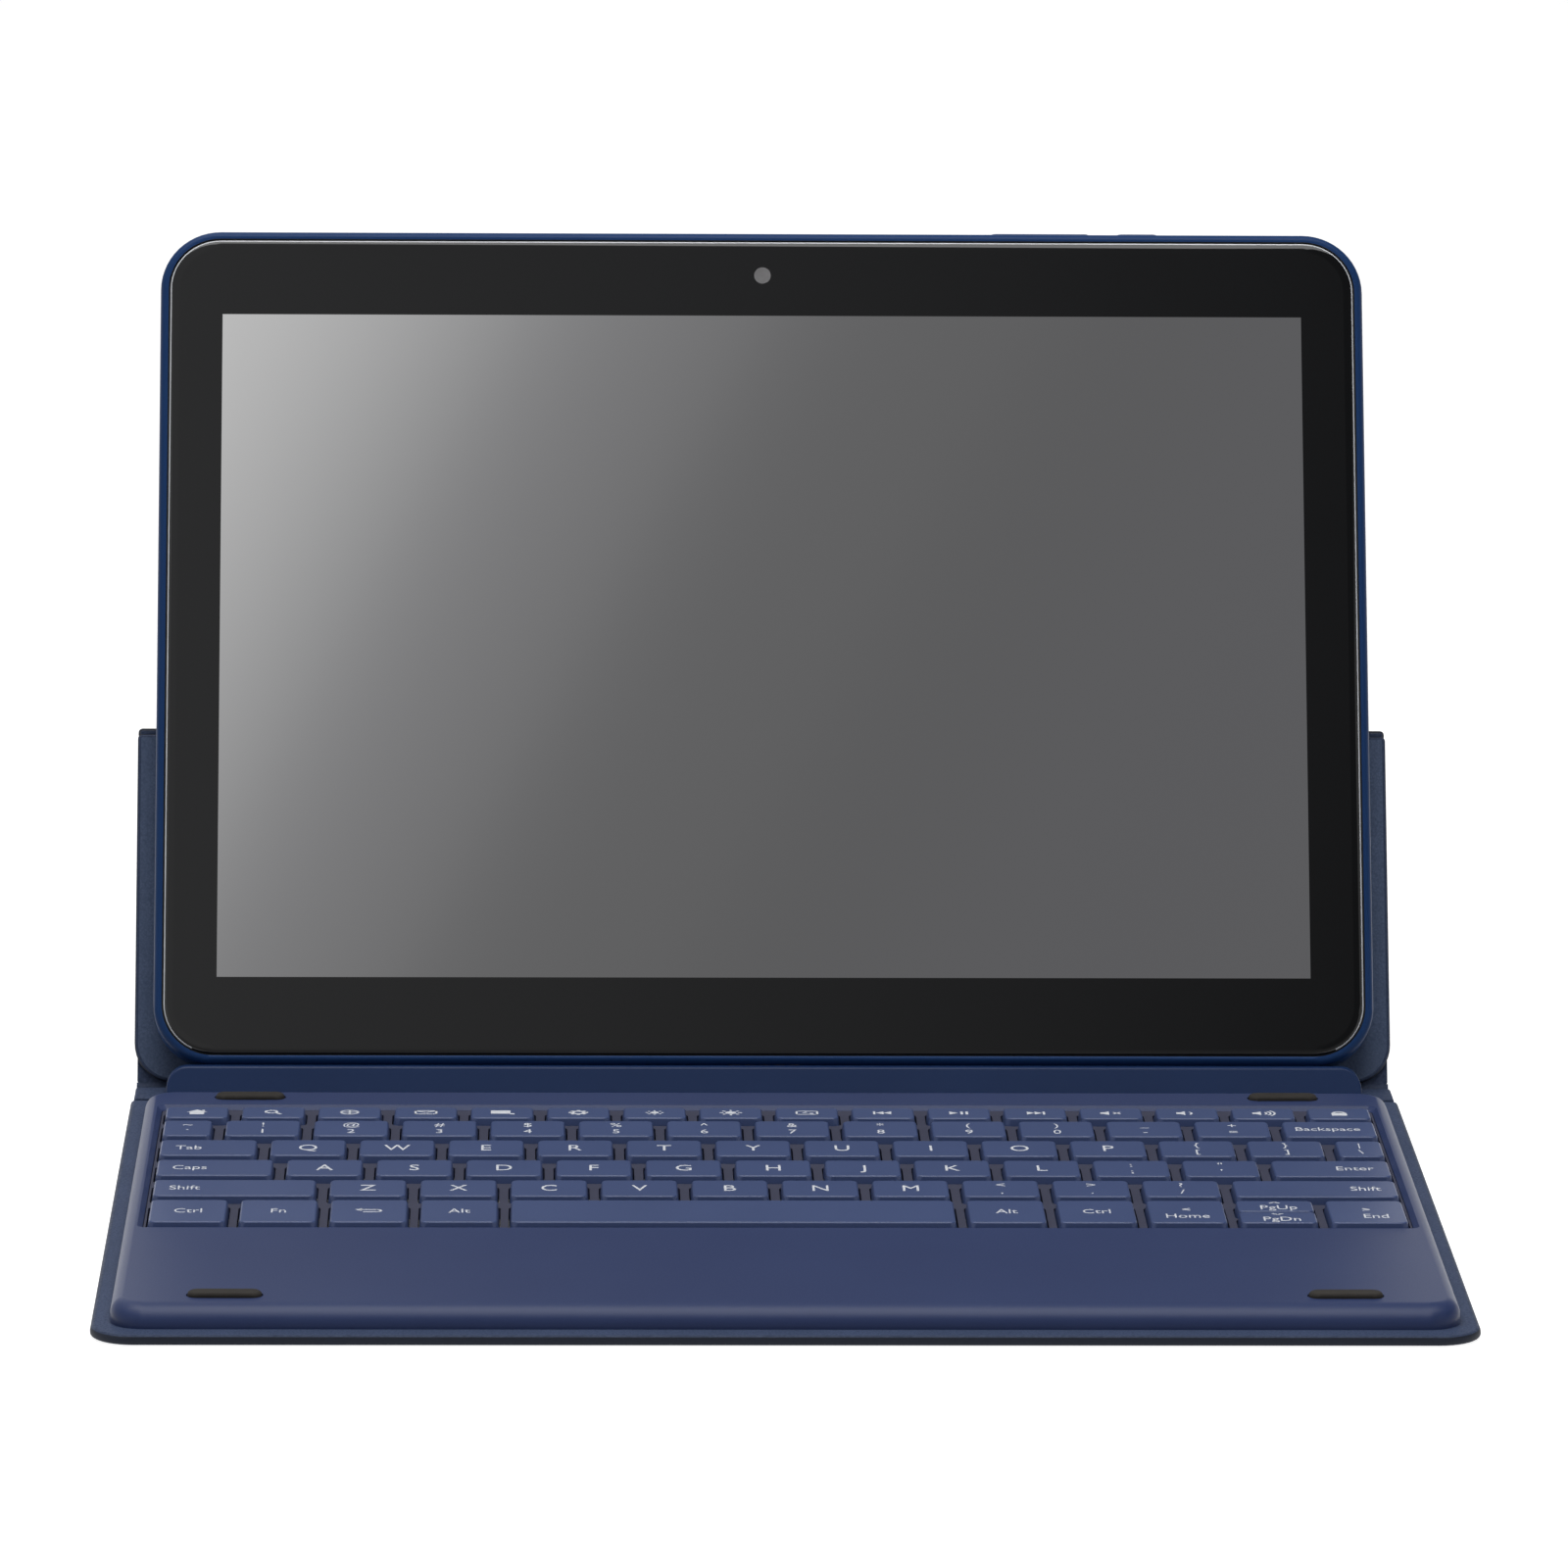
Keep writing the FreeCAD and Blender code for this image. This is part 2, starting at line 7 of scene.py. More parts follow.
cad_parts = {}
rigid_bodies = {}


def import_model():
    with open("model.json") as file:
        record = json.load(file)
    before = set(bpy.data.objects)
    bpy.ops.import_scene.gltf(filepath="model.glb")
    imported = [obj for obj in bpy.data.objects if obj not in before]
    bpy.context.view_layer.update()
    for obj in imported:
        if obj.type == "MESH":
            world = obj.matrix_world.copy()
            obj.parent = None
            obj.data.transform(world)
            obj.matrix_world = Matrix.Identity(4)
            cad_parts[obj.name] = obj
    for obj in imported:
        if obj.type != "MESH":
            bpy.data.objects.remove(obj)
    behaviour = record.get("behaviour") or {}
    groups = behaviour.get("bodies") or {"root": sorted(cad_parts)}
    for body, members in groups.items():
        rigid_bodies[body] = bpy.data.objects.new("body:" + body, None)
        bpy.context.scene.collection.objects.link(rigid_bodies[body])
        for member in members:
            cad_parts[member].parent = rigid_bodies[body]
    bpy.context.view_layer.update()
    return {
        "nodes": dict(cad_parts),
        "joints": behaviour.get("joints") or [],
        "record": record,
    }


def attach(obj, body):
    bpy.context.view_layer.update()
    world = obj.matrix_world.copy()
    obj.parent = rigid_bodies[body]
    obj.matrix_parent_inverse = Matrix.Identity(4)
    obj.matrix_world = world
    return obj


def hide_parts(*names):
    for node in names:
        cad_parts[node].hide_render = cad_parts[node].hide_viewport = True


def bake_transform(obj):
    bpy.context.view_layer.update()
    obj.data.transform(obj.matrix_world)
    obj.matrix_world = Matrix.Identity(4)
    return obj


for stray in list(bpy.data.objects):
    bpy.data.objects.remove(stray)

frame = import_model()
mm = 0.001
touching = 1e-6  # points and levels closer than this count as one
print("frame loaded,", len(frame["nodes"]), "nodes")

joints = {joint["name"]: joint for joint in frame["joints"]}

# leaning frame of the tablet: x, up the glass, out of the glass, from the line it tilts on
sideways = Vector((1, 0, 0))
glassUp = Vector(joints["tablet_lift"]["axis"]).normalized()
tiltLine = Vector(joints["dock_tilt"]["pos_m"])
leanTurn = Matrix((sideways, glassUp, sideways.cross(glassUp))).transposed().to_4x4()
leanPlace = Matrix.Translation(tiltLine) @ leanTurn

# the prop leg is drawn flat along the tablet's back, then folded down about its fold line
foldLine = leanPlace.inverted() @ Vector(joints["leg_unfold"]["pos_m"])
foldTurn = Matrix.Rotation(-math.radians(joints["leg_unfold"]["range_deg"][1]), 4, "X")
legPlace = leanPlace @ Matrix.Translation(foldLine) @ foldTurn @ Matrix.Translation(-foldLine)


def spanOf(spots):
    low = Vector([min(p[i] for p in spots) for i in range(3)])
    high = Vector([max(p[i] for p in spots) for i in range(3)])
    return low, high


def nodeBox(node, place=Matrix()):
    back = place.inverted()
    return spanOf([back @ v.co for v in frame["nodes"][node].data.vertices])


def nodeIslands(node):
    # boxes of the separate solids in one node, from left to right
    bm = bmesh.new()
    bm.from_mesh(frame["nodes"][node].data)
    bmesh.ops.remove_doubles(bm, verts=bm.verts, dist=touching)
    waiting = set(bm.verts)
    boxes = []
    while waiting:
        edge = {waiting.pop()}
        island = set(edge)
        while edge:
            edge = {e.other_vert(v) for v in edge for e in v.link_edges} & waiting
            island |= edge
            waiting -= edge
        boxes.append(spanOf([v.co for v in island]))
    bm.free()
    return sorted(boxes, key=lambda box: box[0].x)


def joinBox(boxes):
    return spanOf([corner for box in boxes for corner in box])


def linear(hexText):
    parts = [int(hexText[i:i + 2], 16) / 255 for i in (0, 2, 4)]
    return [c / 12.92 if c <= 0.04045 else ((c + 0.055) / 1.055) ** 2.4 for c in parts] + [1.0]


def addNode(tree, kind, values={}, links={}, **settings):
    node = tree.nodes.new(kind)
    for name, value in settings.items():
        setattr(node, name, value)
    for socket, value in values.items():
        node.inputs[socket].default_value = value
    for socket, source in links.items():
        tree.links.new(source, node.inputs[socket])
    return node


def newFinish(name, **values):
    material = bpy.data.materials.new(name)
    material.use_nodes = True
    tree = material.node_tree
    tree.nodes.clear()
    surface = addNode(tree, "ShaderNodeBsdfPrincipled", values)
    addNode(tree, "ShaderNodeOutputMaterial", links={"Surface": surface.outputs["BSDF"]})
    place = addNode(tree, "ShaderNodeTexCoord").outputs["Object"]
    return material, tree, surface, place


def dress(tree, surface, look, tone, rough, height=None, depth=0.0):
    # joins a finish's two tones, its roughness and its relief to the shader
    colour = addNode(tree, "ShaderNodeMix", {6: linear(look["deep"]), 7: linear(look["pale"])}, {0: tone},
                     data_type="RGBA")
    tree.links.new(colour.outputs[2], surface.inputs["Base Color"])
    tree.links.new(rough, surface.inputs["Roughness"])
    if height:
        bump = addNode(tree, "ShaderNodeBump", {"Strength": look["relief"], "Distance": depth},
                       {"Height": height})
        tree.links.new(bump.outputs[0], surface.inputs["Normal"])


# depth of the relief as a share of its grain, and how far the roughness sways with it
relief = {"grain": 0.1, "pebble": 0.12, "tooth": 0.05}
sway = {"grain": 0.06, "crease": 0.1, "crown": 0.05, "tooth": 0.05}


def mouldedPlastic(name, look):
    # plastic or rubber from a spark-eroded mould, or satin paint: even fine grain that breaks up the
    # highlight, hardly any change of colour; drawn coarser than the real 0.05 mm so that it shows
    material, tree, surface, place = newFinish(name, **{"Specular IOR Level": look["shine"]})
    grain = addNode(tree, "ShaderNodeTexNoise", {"Scale": 1 / (look["grain"] * mm), "Detail": 2.0},
                    {"Vector": place})
    cloud = addNode(tree, "ShaderNodeTexNoise", {"Scale": 1 / (look["cloud"] * mm), "Detail": 3.0},
                    {"Vector": place})
    tone = addNode(tree, "ShaderNodeMix", {0: look["speckle"]},
                   {2: cloud.outputs["Fac"], 3: grain.outputs["Fac"]}, data_type="FLOAT")
    rough = addNode(tree, "ShaderNodeMapRange",
                    {"To Min": look["roughness"] - sway["grain"],
                     "To Max": look["roughness"] + sway["grain"]},
                    {"Value": grain.outputs["Fac"]})
    dress(tree, surface, look, tone.outputs[0], rough.outputs[0], grain.outputs["Fac"],
          relief["grain"] * look["grain"] * mm)
    return material


def pressedLeather(name, look):
    # polyurethane leather: small rounded pebbles pressed into the coat, with painted shade in the creases,
    # and a soft dull sheen
    material, tree, surface, place = newFinish(name, **{"Specular IOR Level": look["shine"]})
    pebble = addNode(tree, "ShaderNodeTexVoronoi", {"Scale": 1 / (look["pebble"] * mm), "Randomness": 0.9},
                     {"Vector": place}, feature="SMOOTH_F1")
    cloud = addNode(tree, "ShaderNodeTexNoise", {"Scale": 1 / (look["cloud"] * mm), "Detail": 4.0},
                    {"Vector": place})
    crown = addNode(tree, "ShaderNodeMapRange",
                    {"From Min": 0.15, "From Max": 0.75, "To Min": 1.0, "To Max": 0.0},
                    {"Value": pebble.outputs["Distance"]})
    # the creases between pebbles take the deep tone as painted shade; the cloud varies it at random
    tone = addNode(tree, "ShaderNodeMath", {}, {0: crown.outputs[0], 1: cloud.outputs["Fac"]},
                   operation="MULTIPLY")
    rough = addNode(tree, "ShaderNodeMapRange",
                    {"To Min": look["roughness"] + sway["crease"],
                     "To Max": look["roughness"] - sway["crown"]},
                    {"Value": crown.outputs[0]})
    dress(tree, surface, look, tone.outputs[0], rough.outputs[0], crown.outputs[0],
          relief["pebble"] * look["pebble"] * mm)
    return material


def workedMetal(name, look):
    # plated or stamped metal: coloured mirror blurred by a fine even tooth
    material, tree, surface, place = newFinish(name, Metallic=1.0)
    tooth = addNode(tree, "ShaderNodeTexNoise", {"Scale": 1 / (look["tooth"] * mm), "Detail": 2.0},
                    {"Vector": place})
    rough = addNode(tree, "ShaderNodeMapRange",
                    {"To Min": look["roughness"] - sway["tooth"],
                     "To Max": look["roughness"] + sway["tooth"]},
                    {"Value": tooth.outputs["Fac"]})
    dress(tree, surface, look, tooth.outputs["Fac"], rough.outputs[0], tooth.outputs["Fac"],
          relief["tooth"] * look["tooth"] * mm)
    return material


def printedGlass(name, look):
    # ink behind polished glass: deep tone, sharp but weak reflections through an anti-glare coat
    material, tree, surface, place = newFinish(name, **{"Specular IOR Level": look["shine"]})
    haze = addNode(tree, "ShaderNodeTexNoise", {"Scale": 1 / (look["haze"] * mm), "Detail": 2.0},
                   {"Vector": place})
    rough = addNode(tree, "ShaderNodeMapRange",
                    {"To Min": look["roughness"], "To Max": 2 * look["roughness"]},
                    {"Value": haze.outputs["Fac"]})
    dress(tree, surface, look, haze.outputs["Fac"], rough.outputs[0])
    return material


def paintedGlareDisplay(name, look, low, high):
    # panel bonded under the glass with painted glare: a plain grey slope from the upper left, glowing,
    # slightly glossy
    material, tree, surface, place = newFinish(name, **{
        "Roughness": look["roughness"], "Specular IOR Level": look["shine"],
        "Base Color": linear(look["off"]), "Emission Strength": 1.0})
    flat = addNode(tree, "ShaderNodeMapping",
                   {"Location": leanPlace @ ((low + high) / 2), "Rotation": leanTurn.to_euler(),
                    "Scale": (high.x - low.x, high.y - low.y, 1.0)},
                   {"Vector": place}, vector_type="TEXTURE")
    axes = addNode(tree, "ShaderNodeSeparateXYZ", {}, {"Vector": flat.outputs[0]})
    fall = addNode(tree, "ShaderNodeMath", {1: look["fall"]}, {0: axes.outputs["Y"]}, operation="MULTIPLY")
    slope = addNode(tree, "ShaderNodeMath", {}, {0: axes.outputs["X"], 1: fall.outputs[0]},
                    operation="SUBTRACT")
    reach = 0.5 + 0.5 * look["fall"]  # from the middle to the far corners
    along = addNode(tree, "ShaderNodeMapRange", {"From Min": -reach, "From Max": reach},
                    {"Value": slope.outputs[0]})
    ramp = addNode(tree, "ShaderNodeValToRGB", {}, {"Fac": along.outputs[0]})
    ramp.color_ramp.interpolation = "CARDINAL"
    stops = ramp.color_ramp.elements
    while len(stops) < len(look["glareGreys"]):
        stops.new(0.5)
    for stop, (position, grey) in zip(stops, look["glareGreys"]):
        stop.position = position
        stop.color = linear(grey)
    # the painted glare goes into the glow
    tree.links.new(ramp.outputs["Color"], surface.inputs["Emission Color"])
    return material


# satin polycarbonate-ABS of the keyboard: navy, the keys a little paler and bluer than the deck
deckLook = {"deep": "2B3861", "pale": "35446E", "roughness": 0.4, "shine": 0.26, "grain": 0.35, "cloud": 30,
            "speckle": 0.4, "relief": 0.35}
keyLook = {"deep": "3B4B75", "pale": "495A88", "roughness": 0.36, "shine": 0.45, "grain": 0.3, "cloud": 20,
           "speckle": 0.4, "relief": 0.3}
# dock bar: the deck's plastic painted darker and bluer as the shade of the tablet over it
shadedDockLook = {"deep": "162A4F", "pale": "1C345E", "roughness": 0.36, "shine": 0.18, "grain": 0.35,
            "cloud": 25, "speckle": 0.4, "relief": 0.3}
# matt grey polycarbonate web between the keys
keyFrameLook = {"deep": "37394A", "pale": "47495D", "roughness": 0.7, "shine": 0.3, "grain": 0.4,
                "cloud": 10, "speckle": 0.6, "relief": 0.4}
# silicone rubber: dull, brownish black, a trace of dust
bumperLook = {"deep": "1E1C1A", "pale": "3C3833", "roughness": 0.78, "shine": 0.3, "grain": 0.3, "cloud": 4,
              "speckle": 0.5, "relief": 0.6}
# screen-printed white ink: flat, slightly uneven cover
inkLook = {"deep": "D4D8E0", "pale": "F6F8FC", "roughness": 0.5, "shine": 0.3, "grain": 0.3, "cloud": 5,
           "speckle": 0.4, "relief": 0.1}
# dark edge paint on the panels' steep faces: seals the cut edge and is painted shade; dull, a little uneven
edgePaintShadeLook = {"deep": "0F1420", "pale": "20283A", "roughness": 0.6, "shine": 0.3, "grain": 0.4, "cloud": 3,
             "speckle": 0.5, "relief": 0.5}
# leather look outside, a finer one on the inner faces, and painted light: paler behind the tablet than
# under the deck
skinLook = {"deep": "2D3952", "pale": "424F6C", "roughness": 0.6, "pebble": 0.6, "cloud": 14, "relief": 0.5,
            "shine": 0.25}
liningLook = {"deep": "323F5A", "pale": "4A587A", "roughness": 0.62, "pebble": 0.4, "cloud": 12,
              "relief": 0.35, "shine": 0.25}
# copy of the lining made paler as painted light, against the tablet's shade on the panel
litPanelLook = {**liningLook, "deep": "4A5873", "pale": "657592"}
# satin navy paint over the aluminium shell: blue body colour under a soft white gloss
shellLook = {"deep": "1B3763", "pale": "244373", "roughness": 0.32, "shine": 0.1, "grain": 0.25,
             "cloud": 15, "speckle": 0.4, "relief": 0.15}
# black printed border, a painted highlight along the glass's curved edge, and the grey disc of the camera
glassLook = {"deep": "06070A", "pale": "0A0B0E", "roughness": 0.04, "haze": 40, "shine": 0.5}
highlightEdgeLook = {"deep": "C6C9CE", "pale": "ECEFF3", "roughness": 0.12, "haze": 3, "shine": 0.5}
lensLook = {"deep": "747374", "pale": "8C8B8C", "roughness": 0.12, "haze": 1.5, "shine": 0.4}
displayGlareLook = {"glareGreys": [(0.0, "BABABA"), (0.2, "8C8C8D"), (0.38, "6B6B6C"), (0.57, "5D5D5E"),
                         (0.8, "5A5A5C")],
               "fall": 0.337, "off": "0A0A0B", "roughness": 0.3, "shine": 0.0}

# display seen through the glass, in the leaning frame
displayArea = {"width": 216.96, "height": 135.6, "bottom": 17.4}
displayLow = Vector((-displayArea["width"] / 2, displayArea["bottom"], 0)) * mm
displayHigh = displayLow + Vector((displayArea["width"], displayArea["height"], 0)) * mm

deckPlastic = mouldedPlastic("satin_moulded_abs_deck", deckLook)
keyPlastic = mouldedPlastic("satin_moulded_abs_keys", keyLook)
shadedDockPlastic = mouldedPlastic("satin_moulded_abs_dock_painted_shade", shadedDockLook)
keyFramePlastic = mouldedPlastic("matt_polycarbonate_key_frame", keyFrameLook)
bumperRubber = mouldedPlastic("matt_silicone_bumpers", bumperLook)
legendInk = mouldedPlastic("screen_printed_ink", inkLook)
edgePaintAndShade = mouldedPlastic("edge_paint_and_painted_shade", edgePaintShadeLook)
skinLeather = pressedLeather("pressed_polyurethane_leather", skinLook)
liningLeather = pressedLeather("fine_polyurethane_lining", liningLook)
paintedLightPanelLining = pressedLeather("fine_polyurethane_lining_painted_light", litPanelLook)
shellPaint = mouldedPlastic("satin_painted_aluminium", shellLook)
borderGlass = printedGlass("black_printed_glass", glassLook)
paintedHighlightEdge = printedGlass("glass_edge_painted_highlight", highlightEdgeLook)
lensGlass = printedGlass("camera_lens_glass", lensLook)
displayWithPaintedGlare = paintedGlareDisplay("display_painted_glare", displayGlareLook, displayLow, displayHigh)

# finishes of the pieces inside, which show only when the case is taken apart
innerPlastics = {
    "fibre_board": {"deep": "504B45", "pale": "66605A", "roughness": 0.85},
    "membrane_film": {"deep": "BDBDB4", "pale": "D2D2CA", "roughness": 0.3},
    "ribbon_film": {"deep": "8A5516", "pale": "B8761F", "roughness": 0.3},
    "dome_rubber": {"deep": "B2B2AE", "pale": "C8C8C4", "roughness": 0.6},
    "circuit_board": {"deep": "0C3A20", "pale": "124E2C", "roughness": 0.4},
    "contact_block_plastic": {"deep": "0D0D0E", "pale": "18181A", "roughness": 0.5},
    "camera_module": {"deep": "2A2B2D", "pale": "3C3D40", "roughness": 0.3},
    "battery_wrap": {"deep": "2A2A2D", "pale": "3A3A3E", "roughness": 0.5},
    "speaker_plastic": {"deep": "0D0D0D", "pale": "1A1A1A", "roughness": 0.6},
}
innerMetals = {
    "plate_steel": {"deep": "6E7073", "pale": "8C8E91", "roughness": 0.35},
    "screw_steel": {"deep": "2C2C2F", "pale": "3E3E42", "roughness": 0.35},
    "magnet": {"deep": "9A9A9A", "pale": "BEBEBE", "roughness": 0.2},
    "contact_gold": {"deep": "B8892E", "pale": "D6AC4E", "roughness": 0.2},
}
innerGrain = {"grain": 0.4, "cloud": 8, "speckle": 0.4, "relief": 0.2, "shine": 0.5}
innerTooth = {"tooth": 0.3, "relief": 0.1}
slotFinish = {"folio_skin": skinLeather, "folio_lining": liningLeather, "deck_plastic": deckPlastic,
              "dock_plastic": shadedDockPlastic, "key_plastic": keyPlastic, "key_frame_plastic": keyFramePlastic,
              "bumper_rubber": bumperRubber, "tablet_shell": shellPaint, "tablet_button": shellPaint,
              "cover_glass": borderGlass, "display_panel": displayWithPaintedGlare}
for slotName, look in innerPlastics.items():
    slotFinish[slotName] = mouldedPlastic("inner_" + slotName, {**innerGrain, **look})
for slotName, look in innerMetals.items():
    slotFinish[slotName] = workedMetal("inner_" + slotName, {**innerTooth, **look})
for part in frame["record"]["subparts"]:
    mesh = frame["nodes"][part["node"]].data
    mesh.materials.clear()
    mesh.materials.append(slotFinish[part["material_slot"]])
print("finishes made")


def newVerts(grown):
    return [v for v in grown["geom"] if isinstance(v, bmesh.types.BMVert)]


def newFaces(grown):
    return [f for f in grown["geom"] if isinstance(f, bmesh.types.BMFace)]


def upperFaces(bm):
    return [f for f in bm.faces if f.normal.z > 0.9]


def roundRim(bm, level, radius, steps):
    rim = [e for e in bm.edges if all(abs(v.co.z - level) < touching for v in e.verts)]
    bmesh.ops.bevel(bm, geom=rim, offset=radius, segments=steps, profile=0.5, affect="EDGES", material=-1)


def softSlab(low, high, look):
    # plate with rounded corners in plan and rounded rims, as a new bmesh
    bm = bmesh.new()
    plan = ((low.x, low.y), (high.x, low.y), (high.x, high.y), (low.x, high.y))
    corners = [bm.verts.new((x, y, low.z)) for x, y in plan]
    bm.faces.new(corners)
    for pair, radius in ((corners[:2], look["cornerLow"]), (corners[2:], look["cornerHigh"])):
        bmesh.ops.bevel(bm, geom=pair, offset=radius * mm, segments=look["steps"], profile=0.5,
                        affect="VERTICES", material=-1)
    top = newVerts(bmesh.ops.extrude_face_region(bm, geom=bm.faces[:]))
    bmesh.ops.translate(bm, verts=top, vec=(0, 0, high.z - low.z))
    if "draft" in look:
        narrow = [1 - 2 * look["draft"] * mm / side for side in (high - low).xy] + [1]
        bmesh.ops.scale(bm, verts=top, vec=narrow, space=Matrix.Translation(-(low + high) / 2))
    bmesh.ops.recalc_face_normals(bm, faces=bm.faces)
    if "rimLow" in look:
        roundRim(bm, low.z, look["rimLow"] * mm, look["rimSteps"])
    if "rimHigh" in look:
        roundRim(bm, high.z, look["rimHigh"] * mm, look["rimSteps"])
    return bm


def looseObject(bm, name, finishes=()):
    mesh = bpy.data.meshes.new(name)
    bm.to_mesh(mesh)
    bm.free()
    for finish in finishes:
        mesh.materials.append(finish)
    thing = bpy.data.objects.new(name, mesh)
    bpy.context.scene.collection.objects.link(thing)
    return thing


def carve(thing, cutters):
    # cuts the cutters out of a loose object with its modifiers, and gives the result as a bmesh
    for cutter in cutters:
        cut = thing.modifiers.new("cut", "BOOLEAN")
        cut.operation = "DIFFERENCE"
        cut.solver = "EXACT"
        cut.material_mode = "TRANSFER"
        cut.object = cutter
    shaped = bpy.data.meshes.new_from_object(thing.evaluated_get(bpy.context.evaluated_depsgraph_get()))
    bm = bmesh.new()
    bm.from_mesh(shaped)
    for spent in [thing] + cutters:
        bpy.data.objects.remove(spent)
    return bm


def gather(target, part):
    # adds one bmesh to another
    mesh = bpy.data.meshes.new("part")
    part.to_mesh(mesh)
    part.free()
    target.from_mesh(mesh)
    bpy.data.meshes.remove(mesh)


shading = {"sharp": 40, "weight": 75, "equalArea": 1e-9}


def finishPiece(name, bm, finishes, body=None, nodes=(), place=None):
    if place:
        bmesh.ops.transform(bm, matrix=place, verts=bm.verts)
    piece = looseObject(bm, name, finishes)
    piece.data.shade_smooth()
    piece.data.set_sharp_from_angle(angle=math.radians(shading["sharp"]))
    even = piece.modifiers.new("even shading", "WEIGHTED_NORMAL")  # keeps the wide flat faces flat
    even.keep_sharp = True
    even.weight = shading["weight"]
    even.thresh = shading["equalArea"]
    if body:
        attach(piece, body)
    if nodes:
        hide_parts(*nodes)
    return piece


# folio panels: leather turned over the board's edge, so the rim is a soft half round
baseCover = {"cornerLow": 8.0, "cornerHigh": 0.9, "steps": 10,
             "rimLow": 0.6, "rimHigh": 0.85, "rimSteps": 4}
panelCover = {"cornerLow": 8.0, "cornerHigh": 0.9, "steps": 10,
              "rimLow": 0.3, "rimHigh": 0.7, "rimSteps": 4}
panelSheet = {"cornerLow": 0.6, "cornerHigh": 0.9, "steps": 4, "rimLow": 0.2, "rimSteps": 2,
              "thick": 0.5, "buried": 0.9, "inset": 0.6}
legCover = {"cornerLow": 0.9, "cornerHigh": 10.0, "steps": 10,
            "rimLow": 0.7, "rimHigh": 0.7, "rimSteps": 4}
# upward part of a face's normal: lining above the first, edge paint with painted shade below the second
turnedEdge = {"flat": 0.99, "steep": 0.6}


def makeCover(name, stem, look, lining, body, place, sheet=None):
    # the outer sheet can have squarer corners than the padded panel on it
    nodes = (stem + "_skin", stem + "_lining")
    low, high = joinBox([nodeBox(node, place) for node in nodes])
    foot = Vector((0, 0, sheet["buried"] * sheet["thick"] * mm)) if sheet else Vector()
    bm = softSlab(low + foot, high, look)
    for face in bm.faces:
        if face.normal.z > turnedEdge["flat"]:
            face.material_index = 1
        # steep faces get the dark edge paint, which also stands in for their shade
        elif abs(face.normal.z) < turnedEdge["steep"]:
            face.material_index = 2
    if sheet:
        inset = Vector((sheet["inset"] * mm, 0, 0))
        sheetHigh = Vector((high.x, high.y, low.z + sheet["thick"] * mm))
        gather(bm, softSlab(low + inset, sheetHigh - inset, sheet))
    finishPiece(name, bm, [skinLeather, lining, edgePaintAndShade], body, nodes, place)


makeCover("base_cover", "base_cover", baseCover, liningLeather, "base", Matrix())
makeCover("back_panel_cover", "back_panel", panelCover, paintedLightPanelLining, "back_panel", leanPlace, panelSheet)
makeCover("prop_leg_cover", "prop_leg", legCover, paintedLightPanelLining, "prop_leg", legPlace)

# sheet between the panels: strip under the dock bar, a thin crease on each side of it, and the dock's flat
# cable sleeved in the lining where it crosses the front crease
spineSheet = {"cornerLow": 0.6, "cornerHigh": 0.6, "steps": 3,
              "rimLow": 0.25, "rimHigh": 0.4, "rimSteps": 3}
creaseSheet = {"rows": 8, "thick": 0.5, "bend": 0.9, "finish": skinLeather, "slot": "folio_skin"}
ribbonSleeve = {"rows": 8, "thick": 0.2, "finish": liningLeather, "slot": "folio_lining"}
foldBead = {"cornerLow": 0.4, "cornerHigh": 0.4, "steps": 4, "rimLow": 0.2, "rimHigh": 0.2, "rimSteps": 2}


def makeStrip(name, node, route, look):
    # leather drawn out along a route on its underside
    low, high = nodeBox(node)
    bm = bmesh.new()
    edge = bm.edges.new([bm.verts.new((x, route[0].y, route[0].z)) for x in (high.x, low.x)])
    for start, end in zip(route, route[1:]):
        for row in range(look["rows"]):
            grown = bmesh.ops.extrude_edge_only(bm, edges=[edge])
            bmesh.ops.translate(bm, verts=newVerts(grown), vec=(end - start) / look["rows"])
            edge = [e for e in grown["geom"] if isinstance(e, bmesh.types.BMEdge)][0]
    bm.normal_update()
    if sum(f.normal.z for f in bm.faces) > 0:
        bmesh.ops.reverse_faces(bm, faces=bm.faces)
    bmesh.ops.solidify(bm, geom=bm.faces[:], thickness=look["thick"] * mm)
    bmesh.ops.recalc_face_normals(bm, faces=bm.faces)
    piece = finishPiece(name, bm, [look["finish"]], None, (node,))
    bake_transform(piece)


spineLow, spineHigh = nodeBox("spine_strip")
finishPiece("spine_sheet", softSlab(spineLow, spineHigh, spineSheet), [skinLeather],
            "dock_spine", ("spine_strip",))
baseRear = nodeBox("base_cover_skin")[1].y
frontBend = [Vector((0, baseRear, 0)), Vector((0, spineLow.y, 0))]
makeStrip("front_crease", "front_crease_skin", frontBend, creaseSheet)
cableLow, cableHigh = nodeBox("dock_ribbon")
cableRoute = [Vector((0, y, cableLow.z)) for y in (cableLow.y, baseRear, spineLow.y, cableHigh.y)]
makeStrip("dock_cable", "dock_ribbon", cableRoute, ribbonSleeve)
panelLow = nodeBox("back_panel_skin", leanPlace)[0]
panelFoot = leanPlace @ Vector((0, panelLow.y, panelLow.z))
bendStart = Vector((0, panelFoot.y - creaseSheet["bend"] * mm, 0))
rearBend = [Vector((0, spineHigh.y, 0)), bendStart, panelFoot]
makeStrip("rear_crease", "rear_crease_skin", rearBend, creaseSheet)
beadLow, beadHigh = nodeBox("leg_fold_skin", leanPlace)
finishPiece("leg_fold", softSlab(beadLow, beadHigh, foldBead), [skinLeather], "back_panel",
            ("leg_fold_skin",), leanPlace)
print("folio made")

